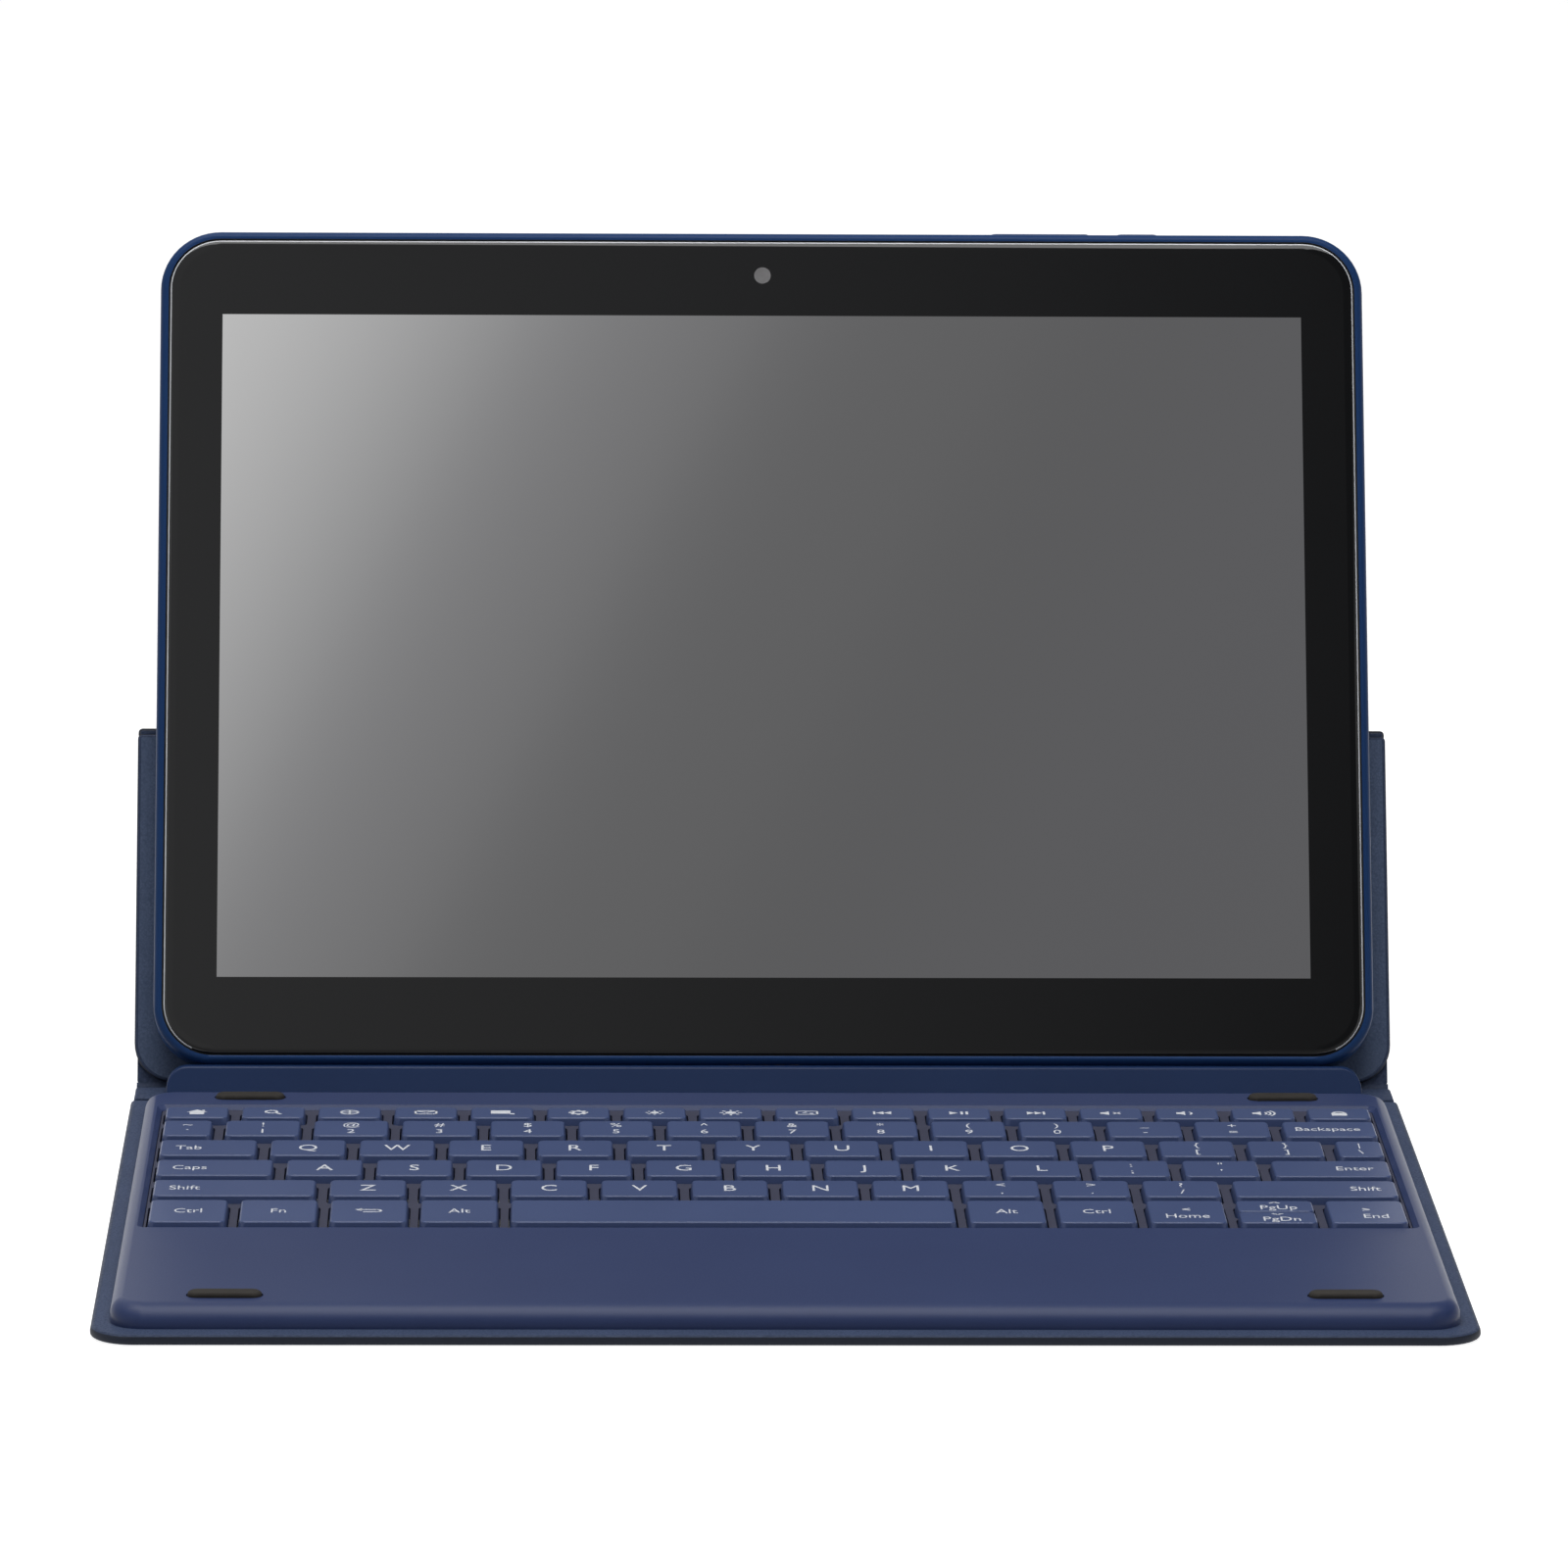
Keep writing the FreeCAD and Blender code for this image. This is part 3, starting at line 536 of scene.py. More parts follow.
# keys: one cap per solid of each key node
keyCap = {"cornerLow": 1.3, "cornerHigh": 1.3, "steps": 5, "draft": 0.4, "rimHigh": 0.3, "rimSteps": 4}
keyNodes = [part["node"] for part in frame["record"]["subparts"] if part["material_slot"] == "key_plastic"]
keyBoxes = {node: nodeIslands(node) for node in keyNodes}
for node, boxes in keyBoxes.items():
    bm = bmesh.new()
    for low, high in boxes:
        gather(bm, softSlab(low, high, keyCap))
    capName = node.replace("key", "cap") if "key" in node else node + "_cap"
    finishPiece(capName, bm, [keyPlastic], node, (node,))
print("keys made,", sum(len(boxes) for boxes in keyBoxes.values()))

# legends: generic letters, figures, plain words and common signs in white ink, sizes in mm
legend = {"letter": 4.8, "pair": 3.4, "word": 3.35, "long": 3.1, "tall": 1.3, "capHeight": 0.682,
          "upper": 2.7, "lower": -2.5, "margin": 3.3, "sink": 0.01, "rise": 0.02, "curve": 3, "arcStep": 20,
          "weld": 1e-5}
speaker = [(-2.1, 0.6), (-1.4, 0.6), (-0.4, 1.5), (-0.4, -1.5), (-1.4, -0.6), (-2.1, -0.6)]
frameBars = [("bar", 0, 1.35, 4.4, 0.4, 0), ("bar", 0, -1.35, 4.4, 0.4, 0),
             ("bar", -2.0, 0, 0.4, 3.1, 0), ("bar", 2.0, 0, 0.4, 3.1, 0)]


def rays(inner, outer, width):
    # eight short bars round a middle, as on a sun or a gear
    spokes = []
    for turn in range(0, 360, 45):
        reach = (inner + outer) / 2
        a = math.radians(turn)
        spokes.append(("bar", reach * math.cos(a), reach * math.sin(a), outer - inner, width, turn))
    return spokes


def skip(way):
    # two arrow heads and a stop bar, to the left for -1 and to the right for 1
    heads = [("shape", [(way * (x + 1.5), 0), (way * x, 1.2), (way * x, -1.2)]) for x in (-1.6, -0.1)]
    return heads + [("bar", way * 1.7, 0, 0.45, 2.4, 0)]


icons = {
    "house": [("shape", [(-2.0, 0), (0, 2.0), (2.0, 0)]), ("bar", 0, -0.9, 2.8, 1.8, 0),
              ("bar", 1.2, 1.2, 0.5, 1.2, 0)],
    "search": [("arc", -0.4, 0.4, 0.85, 1.35, 0, 360), ("bar", 1.0, -1.0, 1.6, 0.6, -45)],
    "globe": [("arc", 0, 0, 1.45, 1.85, 0, 360), ("bar", 0, 0, 3.2, 0.4, 0), ("bar", 0, 0, 0.45, 3.2, 0)],
    "envelope": frameBars + [("bar", -1.0, 0.5, 2.4, 0.4, -35), ("bar", 1.0, 0.5, 2.4, 0.4, 35)],
    "picture": [("bar", -0.3, 0.3, 3.8, 2.6, 0), ("bar", 2.0, -1.2, 0.8, 0.8, 0)],
    "gear": [("arc", 0, 0, 0.8, 1.4, 0, 360)] + rays(1.3, 1.9, 0.7),
    "dimmer": [("arc", 0, 0, 0.05, 0.85, 0, 360)] + rays(1.25, 1.75, 0.4),
    "brighter": [("arc", 0, 0, 0.05, 1.05, 0, 360)] + rays(1.4, 2.2, 0.45),
    "screen": frameBars + [("bar", -0.4, 0.2, 1.2, 0.4, 45), ("bar", 0.9, -0.5, 0.7, 0.7, 0)],
    "previous": skip(-1),
    "play": [("shape", [(-1.9, 1.2), (-0.2, 0), (-1.9, -1.2)]), ("bar", 0.5, 0, 0.5, 2.4, 0),
             ("bar", 1.5, 0, 0.5, 2.4, 0)],
    "next": skip(1),
    "mute": [("shape", speaker), ("bar", 1.1, 0, 1.9, 0.4, 45), ("bar", 1.1, 0, 1.9, 0.4, -45)],
    "quiet": [("shape", speaker), ("arc", -0.6, 0, 1.3, 1.7, -45, 45)],
    "loud": [("shape", speaker)] + [("arc", -0.6, 0, r, r + 0.4, -45, 45) for r in (1.1, 1.9, 2.7)],
    "lock": [("bar", 0, -0.7, 3.0, 2.2, 0), ("arc", 0, 0.3, 0.8, 1.3, 0, 180)],
    "back": [("bar", -0.1, 0.8, 3.2, 0.45, 0), ("bar", 0.2, -0.9, 2.6, 0.45, 0),
             ("arc", 1.4, -0.05, 0.63, 1.08, -90, 90), ("shape", [(-2.6, 0.8), (-1.3, 1.7), (-1.3, -0.1)])],
    "up": [("bar", -0.45, 0, 1.4, 0.4, 40), ("bar", 0.45, 0, 1.4, 0.4, -40)],
    "down": [("bar", -0.45, 0, 1.4, 0.4, -40), ("bar", 0.45, 0, 1.4, 0.4, 40)],
    "left": [("bar", 0, 0.4, 1.5, 0.4, 25), ("bar", 0, -0.4, 1.5, 0.4, -25)],
    "right": [("bar", 0, 0.4, 1.5, 0.4, -25), ("bar", 0, -0.4, 1.5, 0.4, 25)],
}


def inkIcon(bm, name, spot):
    # flat bars, arcs and few-cornered shapes, then raised together
    flat = bmesh.new()
    for kind, *sizes in icons[name]:
        if kind == "bar":
            x, y, width, height, turn = sizes
            place = Matrix.Translation((x, y, 0)) @ Matrix.Rotation(math.radians(turn), 4, "Z")
            bmesh.ops.create_grid(flat, x_segments=1, y_segments=1, size=0.5,
                                  matrix=place @ Matrix.Diagonal((width, height, 1, 1)))
        elif kind == "arc":
            x, y, inner, outer, start, end = sizes
            turn = Matrix.Rotation(math.radians(start), 4, "Z")
            ends = [flat.verts.new(turn @ Vector((r, 0, 0)) + Vector((x, y, 0))) for r in (inner, outer)]
            bmesh.ops.spin(flat, geom=ends + [flat.edges.new(ends)], cent=(x, y, 0), axis=(0, 0, 1),
                           angle=math.radians(end - start), steps=(end - start) // legend["arcStep"],
                           use_merge=end - start == 360)
        else:
            flat.faces.new([flat.verts.new((x, y, 0)) for x, y in sizes[0]])
    flat.normal_update()
    bmesh.ops.reverse_faces(flat, faces=[f for f in flat.faces if f.normal.z > 0])
    top = newVerts(bmesh.ops.extrude_face_region(flat, geom=flat.faces[:]))
    bmesh.ops.scale(flat, verts=flat.verts, vec=(mm, mm, mm))
    bmesh.ops.translate(flat, verts=flat.verts, vec=spot - Vector((0, 0, legend["sink"] * mm)))
    bmesh.ops.translate(flat, verts=top, vec=(0, 0, (legend["sink"] + legend["rise"]) * mm))
    gather(bm, flat)


def inkText(bm, text, size, spot, side):
    # one line of the built-in letters: side -1 starts at the spot, 0 is centred on it, 1 ends there
    letters = bpy.data.curves.new("legend", "FONT")
    letters.body = text
    letters.resolution_u = legend["curve"]
    letters.extrude = 0.5  # one unit high in all, scaled below
    thing = bpy.data.objects.new("legend", letters)
    raised = bmesh.new()
    raised.from_mesh(bpy.data.meshes.new_from_object(thing))
    bpy.data.objects.remove(thing)
    bmesh.ops.remove_doubles(raised, verts=raised.verts, dist=legend["weld"])
    low, high = spanOf([v.co for v in raised.verts])
    anchor = Vector((((1 - side) * low.x + (1 + side) * high.x) / 2, legend["capHeight"] / 2, -0.5))
    bmesh.ops.translate(raised, verts=raised.verts, vec=-anchor)
    bmesh.ops.scale(raised, verts=raised.verts,
                    vec=(size * mm, size * legend["tall"] * mm, (legend["sink"] + legend["rise"]) * mm))
    bmesh.ops.translate(raised, verts=raised.verts, vec=spot - Vector((0, 0, legend["sink"] * mm)))
    gather(bm, raised)


def single(text):
    return [(text, "letter", 0, 0, 0)]


def pair(text):
    return [(text[0], "pair", 0, legend["upper"], 0), (text[1], "pair", 0, legend["lower"], 0)]


def word(text, side=0, x=0, y=0, size="word"):
    return [(text, size, x, y, side)]


# marks on each key from left to right: text or icon name, size, place on the key, side it is set against
functionIcons = ("house search globe envelope picture gear dimmer brighter screen previous play next mute "
                 "quiet loud lock").split()
keyMarks = {
    "function_row_keys": [[(name, "icon", 0, 0, 0)] for name in functionIcons],
    "number_row_keys": [pair(marks) for marks in "~` !1 @2 #3 $4 %5 ^6 &7 *8 (9 )0 _- +=".split()],
    "backspace_key": [word("Backspace", 1, size="long")],
    "tab_key": [word("Tab", -1)],
    "upper_letter_keys": [single(c) for c in "QWERTYUIOP"] + [pair(marks) for marks in ("{[", "}]", "|\\")],
    "caps_key": [word("Caps", -1)],
    "middle_letter_keys": [single(c) for c in "ASDFGHJKL"] + [pair(marks) for marks in (":;", "\"'")],
    "enter_key": [word("Enter", 1)],
    "left_shift_key": [word("Shift", -1)],
    "lower_letter_keys": [single(c) for c in "ZXCVBNM"] + [pair(marks) for marks in ("<,", ">.", "?/")],
    "right_shift_key": [word("Shift", 1)],
    "bottom_left_keys": [word("Ctrl"), word("Fn"), [("back", "icon", 0, 0, 0)], word("Alt")],
    "bottom_right_keys": [word("Alt"), word("Ctrl"), word("Home", y=-3.4) + [("left", "icon", 0, 1.6, 0)]],
    "page_up_key": [word("PgUp", x=0.6, y=-1.2) + [("up", "icon", 0, 2.4, 0)]],
    "page_down_key": [word("PgDn", x=0.6, y=-1.2) + [("down", "icon", 0, 2.4, 0)]],
    "end_key": [word("End", x=1.5, y=-3.4) + [("right", "icon", 0, 1.6, 0)]],
}
for node, keys in keyMarks.items():
    bm = bmesh.new()
    for (low, high), marks in zip(keyBoxes[node], keys):
        for text, size, x, y, side in marks:
            spot = Vector(((low.x + high.x) / 2, (low.y + high.y) / 2, high.z)) + Vector((x, y, 0)) * mm
            if side:
                spot.x += side * ((high.x - low.x) / 2 - legend["margin"] * mm)
            if size == "icon":
                inkIcon(bm, text, spot)
            else:
                inkText(bm, text, legend[size], spot, side)
    finishPiece(node + "_legend", bm, [legendInk], node)
print("legends made")

# deck: full round at the front, tighter at the sides, hollow below, with the key well and the bumper
# seats cut in
deckShape = {"cornerLow": 6.0, "cornerHigh": 6.0, "steps": 10,
             "frontRound": 4.1, "sideRound": 2.3, "roundSteps": 8}
deckHollow = {"cornerLow": 4.4, "cornerHigh": 4.4, "steps": 6, "rimHigh": 2.4, "rimSteps": 3,
              "wall": 1.6, "roof": 1.0}
wellShape = {"cornerLow": 1.5, "cornerHigh": 1.5, "steps": 4, "side": 0.75, "front": 0.7, "rear": 3.3,
             "flare": 0.9, "rim": 1.0, "rimFoot": 1.6}
screwBoss = {"radius": 1.8, "sides": 16}
bumperPad = {"cornerLow": 2.0, "cornerHigh": 2.0, "steps": 8, "rimHigh": 0.7, "rimSteps": 4}
bumperSeat = {"cornerLow": 2.2, "cornerHigh": 2.2, "steps": 8, "gap": 0.25}


def flaredCutter(low, high, look, flare):
    # plug that widens over its top, so that the cut has a chamfered rim
    bm = softSlab(low, high, look)
    wide = upperFaces(bm)
    spread = [1 + 2 * flare / side for side in (high - low).xy] + [1]
    for rise, factor in ((flare, spread), (mm, (1, 1, 1))):
        grown = bmesh.ops.extrude_face_region(bm, geom=wide)
        bmesh.ops.delete(bm, geom=wide, context="FACES_ONLY")
        wide = newFaces(grown)
        bmesh.ops.translate(bm, verts=newVerts(grown), vec=(0, 0, rise))
        bmesh.ops.scale(bm, verts=newVerts(grown), vec=factor, space=Matrix.Translation(-(low + high) / 2))
    bmesh.ops.recalc_face_normals(bm, faces=bm.faces)
    return bm


def postAt(spot, radius, length, sides, place=Matrix()):
    bm = bmesh.new()
    bmesh.ops.create_cone(bm, cap_ends=True, segments=sides, depth=length, radius1=radius, radius2=radius,
                          matrix=Matrix.Translation(spot) @ place)
    return bm


def makeDeck():
    low, high = nodeBox("keyboard_top_case")
    bm = softSlab(low, high, deckShape)
    weight = bm.edges.layers.float.new("bevel_weight_edge")
    ratio = deckShape["sideRound"] / deckShape["frontRound"]
    for edge in bm.edges:
        if all(abs(v.co.z - high.z) < touching for v in edge.verts):
            back = sum(v.co.y for v in edge.verts) / 2 - low.y
            edge[weight] = 1 + (ratio - 1) * min(1.0, back / (deckShape["cornerLow"] * mm))
    deck = looseObject(bm, "deck", [deckPlastic])
    rounding = deck.modifiers.new("rounding", "BEVEL")
    rounding.limit_method = "WEIGHT"
    rounding.width = deckShape["frontRound"] * mm
    rounding.segments = deckShape["roundSteps"]
    rounding.use_clamp_overlap = False
    flare = wellShape["flare"] * mm
    wellLow, wellHigh = joinBox([box for boxes in keyBoxes.values() for box in boxes])
    wellLow -= Vector((wellShape["side"], wellShape["front"], 0)) * mm
    wellHigh += Vector((wellShape["side"], wellShape["rear"], 0)) * mm
    wellLow.z = low.z - mm
    wellHigh.z = high.z - flare
    wall = deckHollow["wall"] * mm
    hollowHigh = high - Vector((wall, wall, deckHollow["roof"] * mm))
    hollow = softSlab(low + Vector((wall, wall, -mm)), hollowHigh, deckHollow)
    rim = Vector((wellShape["rim"] * mm, wellShape["rim"] * mm, 0))
    rimLow = wellLow - rim
    rimLow.z = low.z + wellShape["rimFoot"] * mm
    # bosses share a cutter and so do seats: cut one by one, the mesh differs a little from run to run
    bosses = bmesh.new()
    for screwLow, screwHigh in nodeIslands("deck_screws"):
        spot = Vector(((screwLow.x + screwHigh.x) / 2, (screwLow.y + screwHigh.y) / 2, high.z))
        gather(bosses, postAt(spot, screwBoss["radius"] * mm, 2 * (high.z - screwLow.z - mm),
                              screwBoss["sides"]))
    keep = [looseObject(softSlab(rimLow, wellHigh + rim, wellShape), "rim"), looseObject(bosses, "bosses")]
    cutters = [looseObject(carve(looseObject(hollow, "hollow"), keep), "hollow", [deckPlastic]),
               looseObject(flaredCutter(wellLow, wellHigh, wellShape, flare), "well", [deckPlastic])]
    gap = Vector((bumperSeat["gap"] * mm, bumperSeat["gap"] * mm, 0))
    seats = bmesh.new()
    for padLow, padHigh in nodeIslands("rubber_bumpers"):
        gather(seats, softSlab(padLow - gap, padHigh + gap, bumperSeat))
    cutters.append(looseObject(seats, "seats", [deckPlastic]))
    finishPiece("deck_case", carve(deck, cutters), [deckPlastic], "base",
                ("keyboard_top_case",))


makeDeck()
bm = bmesh.new()
for low, high in nodeIslands("rubber_bumpers"):
    gather(bm, softSlab(low, high, bumperPad))
finishPiece("bumper_pads", bm, [bumperRubber], "base", ("rubber_bumpers",))
print("deck made")

# dock bar: front face raked back to a narrow lip, seat sloping at the tablet's lean, ends rounded as seen
# from the front
dockBar = {"rake": 3.2, "endRound": 4.0, "endSteps": 8, "lipRound": 0.4, "lipSteps": 4}


def makeDockBar():
    low, high = nodeBox("dock_bar_cover")
    slope = glassUp.y / glassUp.z
    section = [(low.y, low.z), (low.y + dockBar["rake"] * mm, high.z), (tiltLine.y, high.z),
               (high.y, high.z - (high.y - tiltLine.y) * slope), (high.y, low.z)]
    bm = bmesh.new()
    bm.faces.new([bm.verts.new((low.x, y, z)) for y, z in section])
    far = newVerts(bmesh.ops.extrude_face_region(bm, geom=bm.faces[:]))
    bmesh.ops.translate(bm, verts=far, vec=(high.x - low.x, 0, 0))
    bmesh.ops.recalc_face_normals(bm, faces=bm.faces)
    ends = [e for e in bm.edges if abs(e.verts[0].co.x - e.verts[1].co.x) < touching
            and min(v.co.z for v in e.verts) > low.z + mm]
    bmesh.ops.bevel(bm, geom=ends, offset=dockBar["endRound"] * mm, segments=dockBar["endSteps"],
                    profile=0.5, affect="EDGES", material=-1)
    front = min(bm.faces, key=lambda face: face.normal.y)
    lip = [e for e in front.edges if max(v.co.z for v in e.verts) > low.z + touching]
    bmesh.ops.bevel(bm, geom=lip, offset=dockBar["lipRound"] * mm, segments=dockBar["lipSteps"],
                    profile=0.5, affect="EDGES", material=-1)
    finishPiece("dock_bar", bm, [shadedDockPlastic], "dock_spine", ("dock_bar_cover",))


makeDockBar()
print("dock bar made")

# tablet: painted shell with a black gasket round the glass, button slots and a microphone hole
tabletShell = {"cornerLow": 12.0, "cornerHigh": 12.0, "steps": 14,
               "rimLow": 3.0, "rimHigh": 1.3, "rimSteps": 6}
glassSeat = {"cornerLow": 10.35, "cornerHigh": 10.35, "steps": 14, "gap": 0.35}
glassSheet = {"cornerLow": 10.0, "cornerHigh": 10.0, "steps": 14, "edge": 2.0, "drop": 0.4,
              "edgeSteps": 6, "highlightSteps": 2, "noHighlightFoot": 1.2}
buttonBar = {"cornerLow": 1.2, "cornerHigh": 1.2, "steps": 6, "rimHigh": 0.35, "rimSteps": 3,
             "flange": 0.9}
buttonSlot = {"cornerLow": 1.3, "cornerHigh": 1.3, "steps": 6, "gap": 0.2, "depth": 2.0}
microphoneHole = {"x": -87.4, "radius": 0.5, "depth": 1.5, "sides": 16}
upright = Matrix.Rotation(-math.pi / 2, 4, "X")  # turns a plate so that its thickness runs up the glass


def buttonBox(node):
    # the stem of a button, without the flange that holds it inside, with its thickness along z
    low, high = nodeBox(node, leanPlace @ upright)
    flange = Vector((buttonBar["flange"], buttonBar["flange"], 0)) * mm
    return low + flange, high - flange


def makeShell():
    low, high = nodeBox("tablet_shell", leanPlace)
    shell = looseObject(softSlab(low, high, tabletShell), "shell", [shellPaint])
    glassLow, glassHigh = nodeBox("cover_glass", leanPlace)
    gap = Vector((glassSeat["gap"], glassSeat["gap"], 0)) * mm
    gasket = slotFinish["contact_block_plastic"]
    cutters = [looseObject(softSlab(glassLow - gap, glassHigh + gap, glassSeat), "seat", [gasket])]
    play = Vector((buttonSlot["gap"], buttonSlot["gap"], 0)) * mm
    for node in ("volume_rocker", "power_button"):
        slotLow, slotHigh = buttonBox(node)
        slotLow.z = high.y - buttonSlot["depth"] * mm
        slot = softSlab(slotLow - play, slotHigh + play, buttonSlot)
        bmesh.ops.transform(slot, matrix=upright, verts=slot.verts)
        cutters.append(looseObject(slot, "slot", [shellPaint]))
    rockerLow, rockerHigh = nodeBox("volume_rocker", leanPlace)
    mouth = Vector((microphoneHole["x"] * mm, high.y, (rockerLow.z + rockerHigh.z) / 2))
    hole = postAt(mouth, microphoneHole["radius"] * mm, 2 * microphoneHole["depth"] * mm,
                  microphoneHole["sides"], upright)
    cutters.append(looseObject(hole, "hole", [gasket]))
    pads = bmesh.new()  # seats of the dock's contact pads, which stay as they are
    pads.from_mesh(frame["nodes"]["contact_pads"].data)
    bmesh.ops.transform(pads, matrix=leanPlace.inverted(), verts=pads.verts)
    bmesh.ops.remove_doubles(pads, verts=pads.verts, dist=touching)
    cutters.append(looseObject(pads, "pads", [gasket]))
    finishPiece("tablet_case", carve(shell, cutters), [shellPaint, gasket], "tablet",
                ("tablet_shell",), leanPlace)


def makeGlass():
    # cover glass whose edge curves down all round, with a painted highlight on its outer steps but for its
    # foot, and the display's window marked out on its front
    low, high = nodeBox("cover_glass", leanPlace)
    bm = softSlab(low, high - Vector((0, 0, glassSheet["drop"] * mm)), glassSheet)
    front = upperFaces(bm)
    edge = glassSheet["edge"] * mm
    drop = glassSheet["drop"] * mm
    turns = [math.radians(90 * k / glassSheet["edgeSteps"]) for k in range(glassSheet["edgeSteps"] + 1)]
    for step, (a, b) in enumerate(zip(turns, turns[1:])):
        rim = bmesh.ops.inset_region(bm, faces=front, thickness=edge * (math.cos(a) - math.cos(b)),
                                     depth=drop * (math.sin(b) - math.sin(a)))
        for face in rim["faces"]:
            # outer steps of the edge, above the foot, get the painted highlight
            aboveFoot = face.calc_center_median().y > low.y + glassSheet["noHighlightFoot"] * mm
            face.material_index = 2 if aboveFoot and step < glassSheet["highlightSteps"] else 0
    cuts = [(spot, way) for way in ((1, 0, 0), (0, 1, 0)) for spot in (displayLow, displayHigh)]
    for spot, across in cuts:
        front = [f for f in bm.faces if f.calc_center_median().z > high.z - touching]
        around = list({part for f in front for part in list(f.edges) + list(f.verts)})
        bmesh.ops.bisect_plane(bm, geom=front + around, plane_co=spot, plane_no=across)
    for face in bm.faces:
        spot = face.calc_center_median()
        inside = displayLow.x < spot.x < displayHigh.x and displayLow.y < spot.y < displayHigh.y
        if inside and spot.z > high.z - touching:
            face.material_index = 1
    finishPiece("glass_sheet", bm, [borderGlass, displayWithPaintedGlare, paintedHighlightEdge], "tablet",
                ("cover_glass",), leanPlace)


frontLens = {"radius": 1.8, "proud": 0.03, "ring": 0.12, "sides": 32}


def makeLens():
    low, high = nodeBox("front_camera", leanPlace)
    middle = (low + high) / 2
    middle.z = nodeBox("cover_glass", leanPlace)[1].z
    bm = postAt(middle, frontLens["radius"] * mm, 2 * frontLens["proud"] * mm, frontLens["sides"])
    bm.normal_update()
    disc = upperFaces(bm)
    bmesh.ops.inset_region(bm, faces=disc, thickness=frontLens["ring"] * mm,
                           depth=-0.5 * frontLens["proud"] * mm)
    for face in disc:
        face.material_index = 1
    finishPiece("camera_lens", bm, [borderGlass, lensGlass], "tablet", (), leanPlace)


def makeButton(name, node):
    low, high = buttonBox(node)
    finishPiece(name, softSlab(low, high, buttonBar), [shellPaint], node, (node,),
                leanPlace @ upright)


makeShell()
makeGlass()
makeLens()
makeButton("volume_bar", "volume_rocker")
makeButton("power_bar", "power_button")
print("tablet made")

# white floor that keeps the shadow, and a white surround that greys towards the ceiling, the right and the
# camera
floorSheet = {"size": 8.0, "below": 0.0002, "tone": "A0A0A2", "seen": "F2F2F2", "glow": 0.45,
              "strength": 1.97}
studio = {"ambient": 0.17, "low": 0.2, "high": 0.45, "front": -0.95, "side": -0.4, "dark": 0.35,
          "left": -0.05, "right": 0.1, "bright": 0.62, "shade": 0.12}


def seenRays(tree):
    # 1 for rays that show the background: straight to the camera, mirrored, or through glass
    path = addNode(tree, "ShaderNodeLightPath")
    kinds = [path.outputs[name] for name in ("Is Camera Ray", "Is Glossy Ray", "Is Transmission Ray")]
    first = addNode(tree, "ShaderNodeMath", {}, {0: kinds[0], 1: kinds[1]}, operation="MAXIMUM")
    every = addNode(tree, "ShaderNodeMath", {}, {0: first.outputs[0], 1: kinds[2]}, operation="MAXIMUM")
    return kinds[0], every.outputs[0]


floorPaper = bpy.data.materials.new("white_paper_floor")
floorPaper.use_nodes = True
tree = floorPaper.node_tree
tree.nodes.clear()
seen = seenRays(tree)[1]
share = addNode(tree, "ShaderNodeMath", {1: floorSheet["glow"]}, {0: seen}, operation="MULTIPLY")
tone = addNode(tree, "ShaderNodeMix", {6: linear(floorSheet["tone"]), 7: linear(floorSheet["seen"])},
               {0: seen}, data_type="RGBA")
paper = addNode(tree, "ShaderNodeBsdfDiffuse", {}, {"Color": tone.outputs[2]})
glow = addNode(tree, "ShaderNodeEmission", {"Strength": floorSheet["strength"]})
mixed = addNode(tree, "ShaderNodeMixShader", {},
                {0: share.outputs[0], 1: paper.outputs[0], 2: glow.outputs[0]})
addNode(tree, "ShaderNodeOutputMaterial", links={"Surface": mixed.outputs[0]})
bm = bmesh.new()
bmesh.ops.create_grid(bm, x_segments=1, y_segments=1, size=floorSheet["size"] / 2,
                      matrix=Matrix.Translation((0, 0, -floorSheet["below"])))
looseObject(bm, "floor", [floorPaper])

world = bpy.data.worlds.new("studio")
bpy.context.scene.world = world
world.use_nodes = True
tree = world.node_tree
tree.nodes.clear()
cameraRays, seen = seenRays(tree)
outward = addNode(tree, "ShaderNodeTexCoord").outputs["Generated"]
way = addNode(tree, "ShaderNodeSeparateXYZ", {}, {"Vector": outward})
across = addNode(tree, "ShaderNodeMapRange",
                 {"From Min": studio["left"], "From Max": studio["right"], "To Min": studio["bright"],
                  "To Max": studio["shade"]}, {"Value": way.outputs["X"]})
facing = addNode(tree, "ShaderNodeMapRange",
                 {"From Min": studio["front"], "From Max": studio["side"], "To Min": studio["dark"]},
                 {"Value": way.outputs["Y"]})
upward = addNode(tree, "ShaderNodeMapRange", {"From Min": studio["low"], "From Max": studio["high"]},
                 {"Value": way.outputs["Z"], "To Min": facing.outputs[0], "To Max": across.outputs[0]},
                 interpolation_type="SMOOTHSTEP")
level = addNode(tree, "ShaderNodeMath", {}, {0: upward.outputs[0], 1: cameraRays}, operation="MAXIMUM")
soft = addNode(tree, "ShaderNodeBackground", {"Color": (1, 1, 1, 1), "Strength": studio["ambient"]})
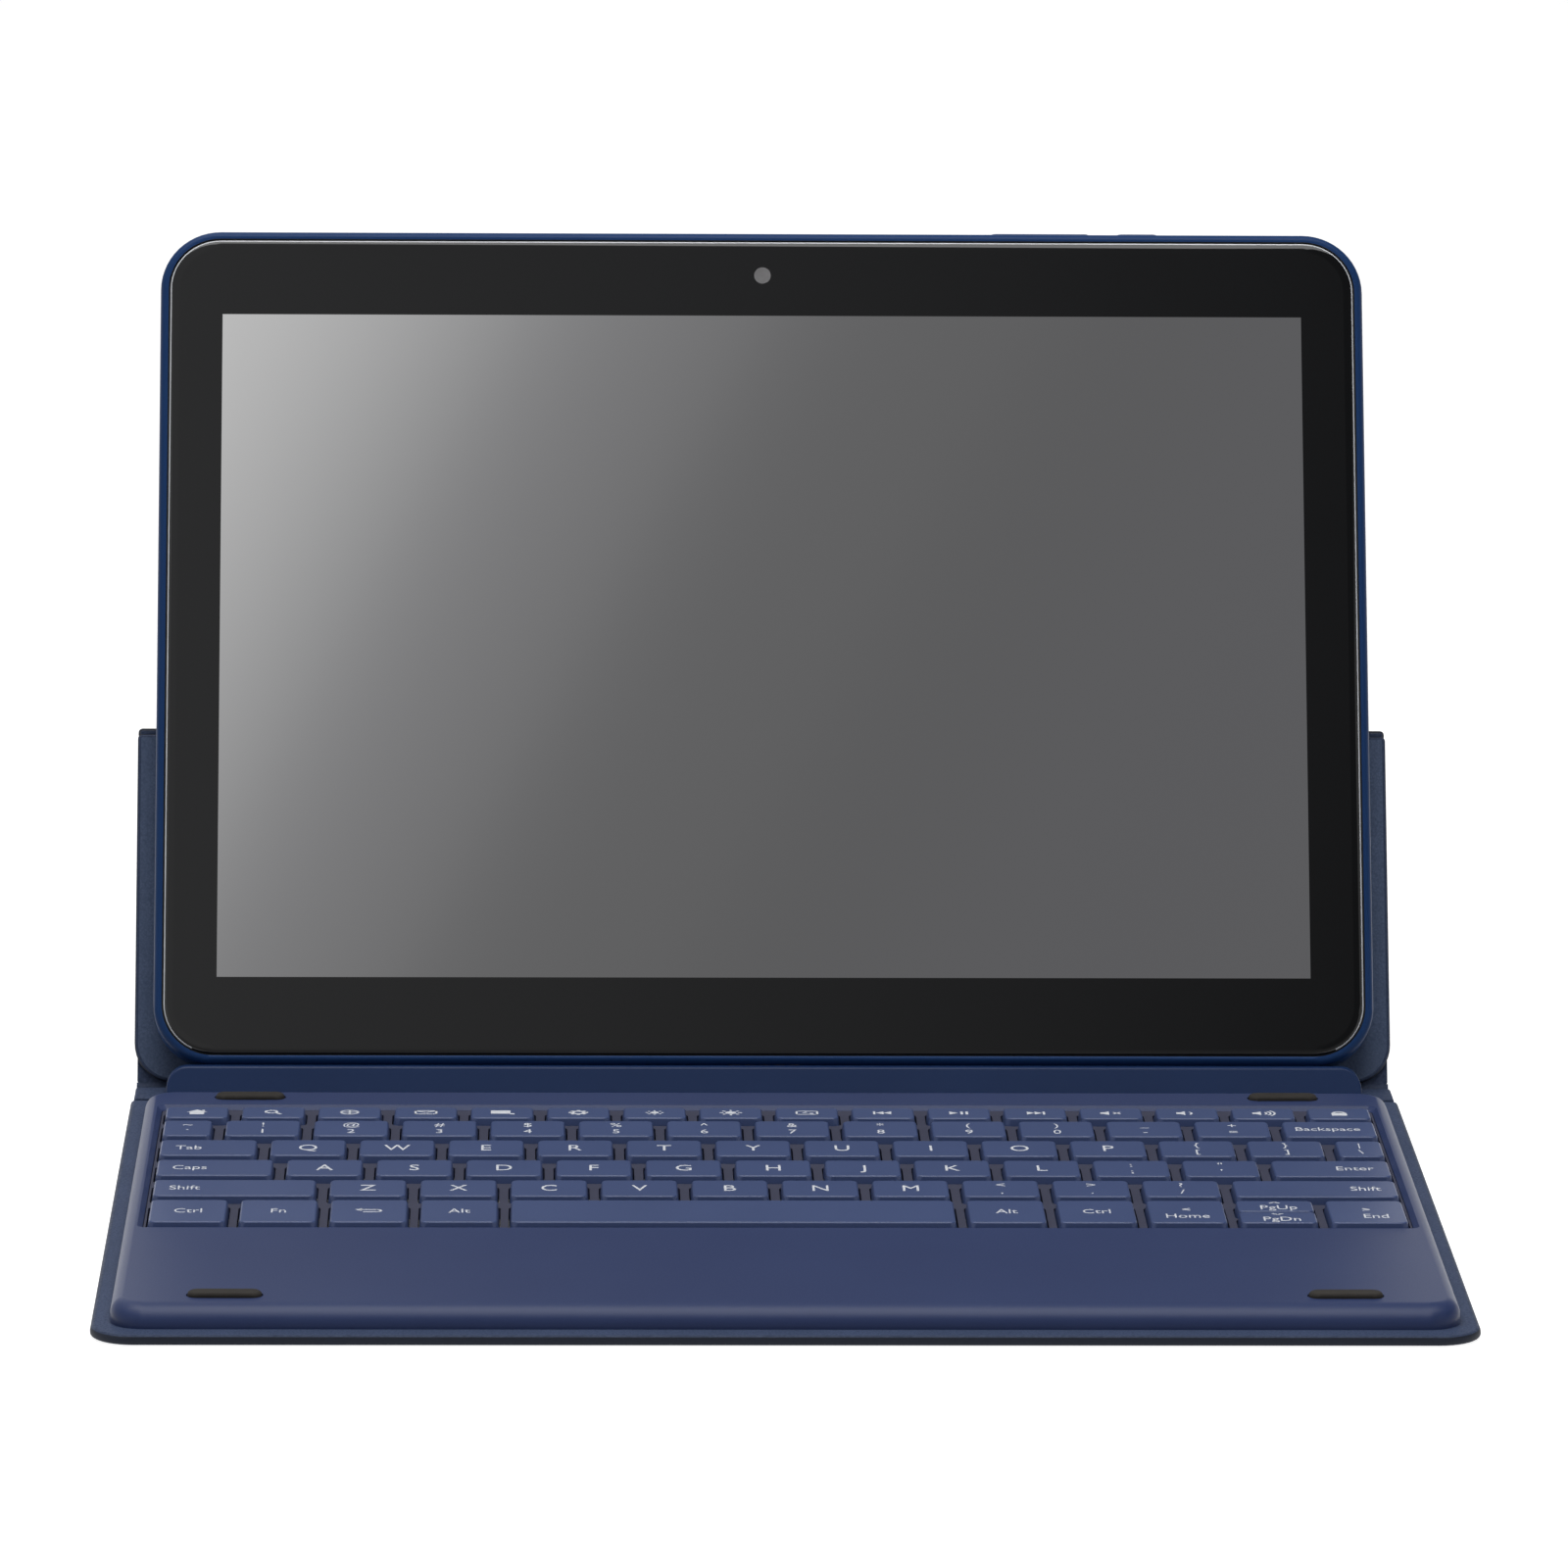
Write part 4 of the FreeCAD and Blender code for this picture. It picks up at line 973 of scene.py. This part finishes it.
white = addNode(tree, "ShaderNodeBackground", {"Color": (1, 1, 1, 1)}, {"Strength": level.outputs[0]})
mixed = addNode(tree, "ShaderNodeMixShader", {}, {0: seen, 1: soft.outputs[0], 2: white.outputs[0]})
addNode(tree, "ShaderNodeOutputWorld", links={"Surface": mixed.outputs[0]})

lamps = {
    "overhead_softbox": {"place": (-0.05, -0.05, 1.2), "aim": (0, 0.02, 0), "size": (1.2, 0.9),
                         "power": 11.6},
    "left_softbox": {"place": (-1.2, -1.2, 0.9), "aim": (0, 0, 0.06), "size": (0.9, 0.9), "power": 0.8},
    "right_softbox": {"place": (1.2, -1.2, 0.8), "aim": (0, 0, 0.06), "size": (0.9, 0.9), "power": 1.4},
}
for name, lamp in lamps.items():
    light = bpy.data.lights.new(name, "AREA")
    light.shape = "RECTANGLE"
    light.size, light.size_y = lamp["size"]
    light.energy = lamp["power"]
    thing = bpy.data.objects.new(name, light)
    thing.location = lamp["place"]
    thing.rotation_euler = (Vector(lamp["aim"]) - Vector(lamp["place"])).to_track_quat("-Z", "Y").to_euler()
    bpy.context.scene.collection.objects.link(thing)

# camera low in front, a little to the left of the middle
cameraSet = {"place": (-0.0438, -1.7888, 0.4447), "pitch": 11.39, "yaw": 1.433, "roll": 0.4,
             "lens": 224.9, "sensor": 36.0, "near": 0.05, "far": 50}
lensData = bpy.data.cameras.new("camera")
lensData.lens = cameraSet["lens"]
lensData.sensor_width = cameraSet["sensor"]
lensData.clip_start = cameraSet["near"]
lensData.clip_end = cameraSet["far"]
camera = bpy.data.objects.new("camera", lensData)
turn = Matrix.Rotation(-math.radians(cameraSet["yaw"]), 4, "Z")
turn = turn @ Matrix.Rotation(math.radians(90 - cameraSet["pitch"]), 4, "X")
turn = turn @ Matrix.Rotation(math.radians(cameraSet["roll"]), 4, "Z")
camera.matrix_world = Matrix.Translation(Vector(cameraSet["place"])) @ turn
bpy.context.scene.collection.objects.link(camera)
bpy.context.scene.camera = camera
bpy.context.scene.view_settings.view_transform = "Standard"
print("studio made")
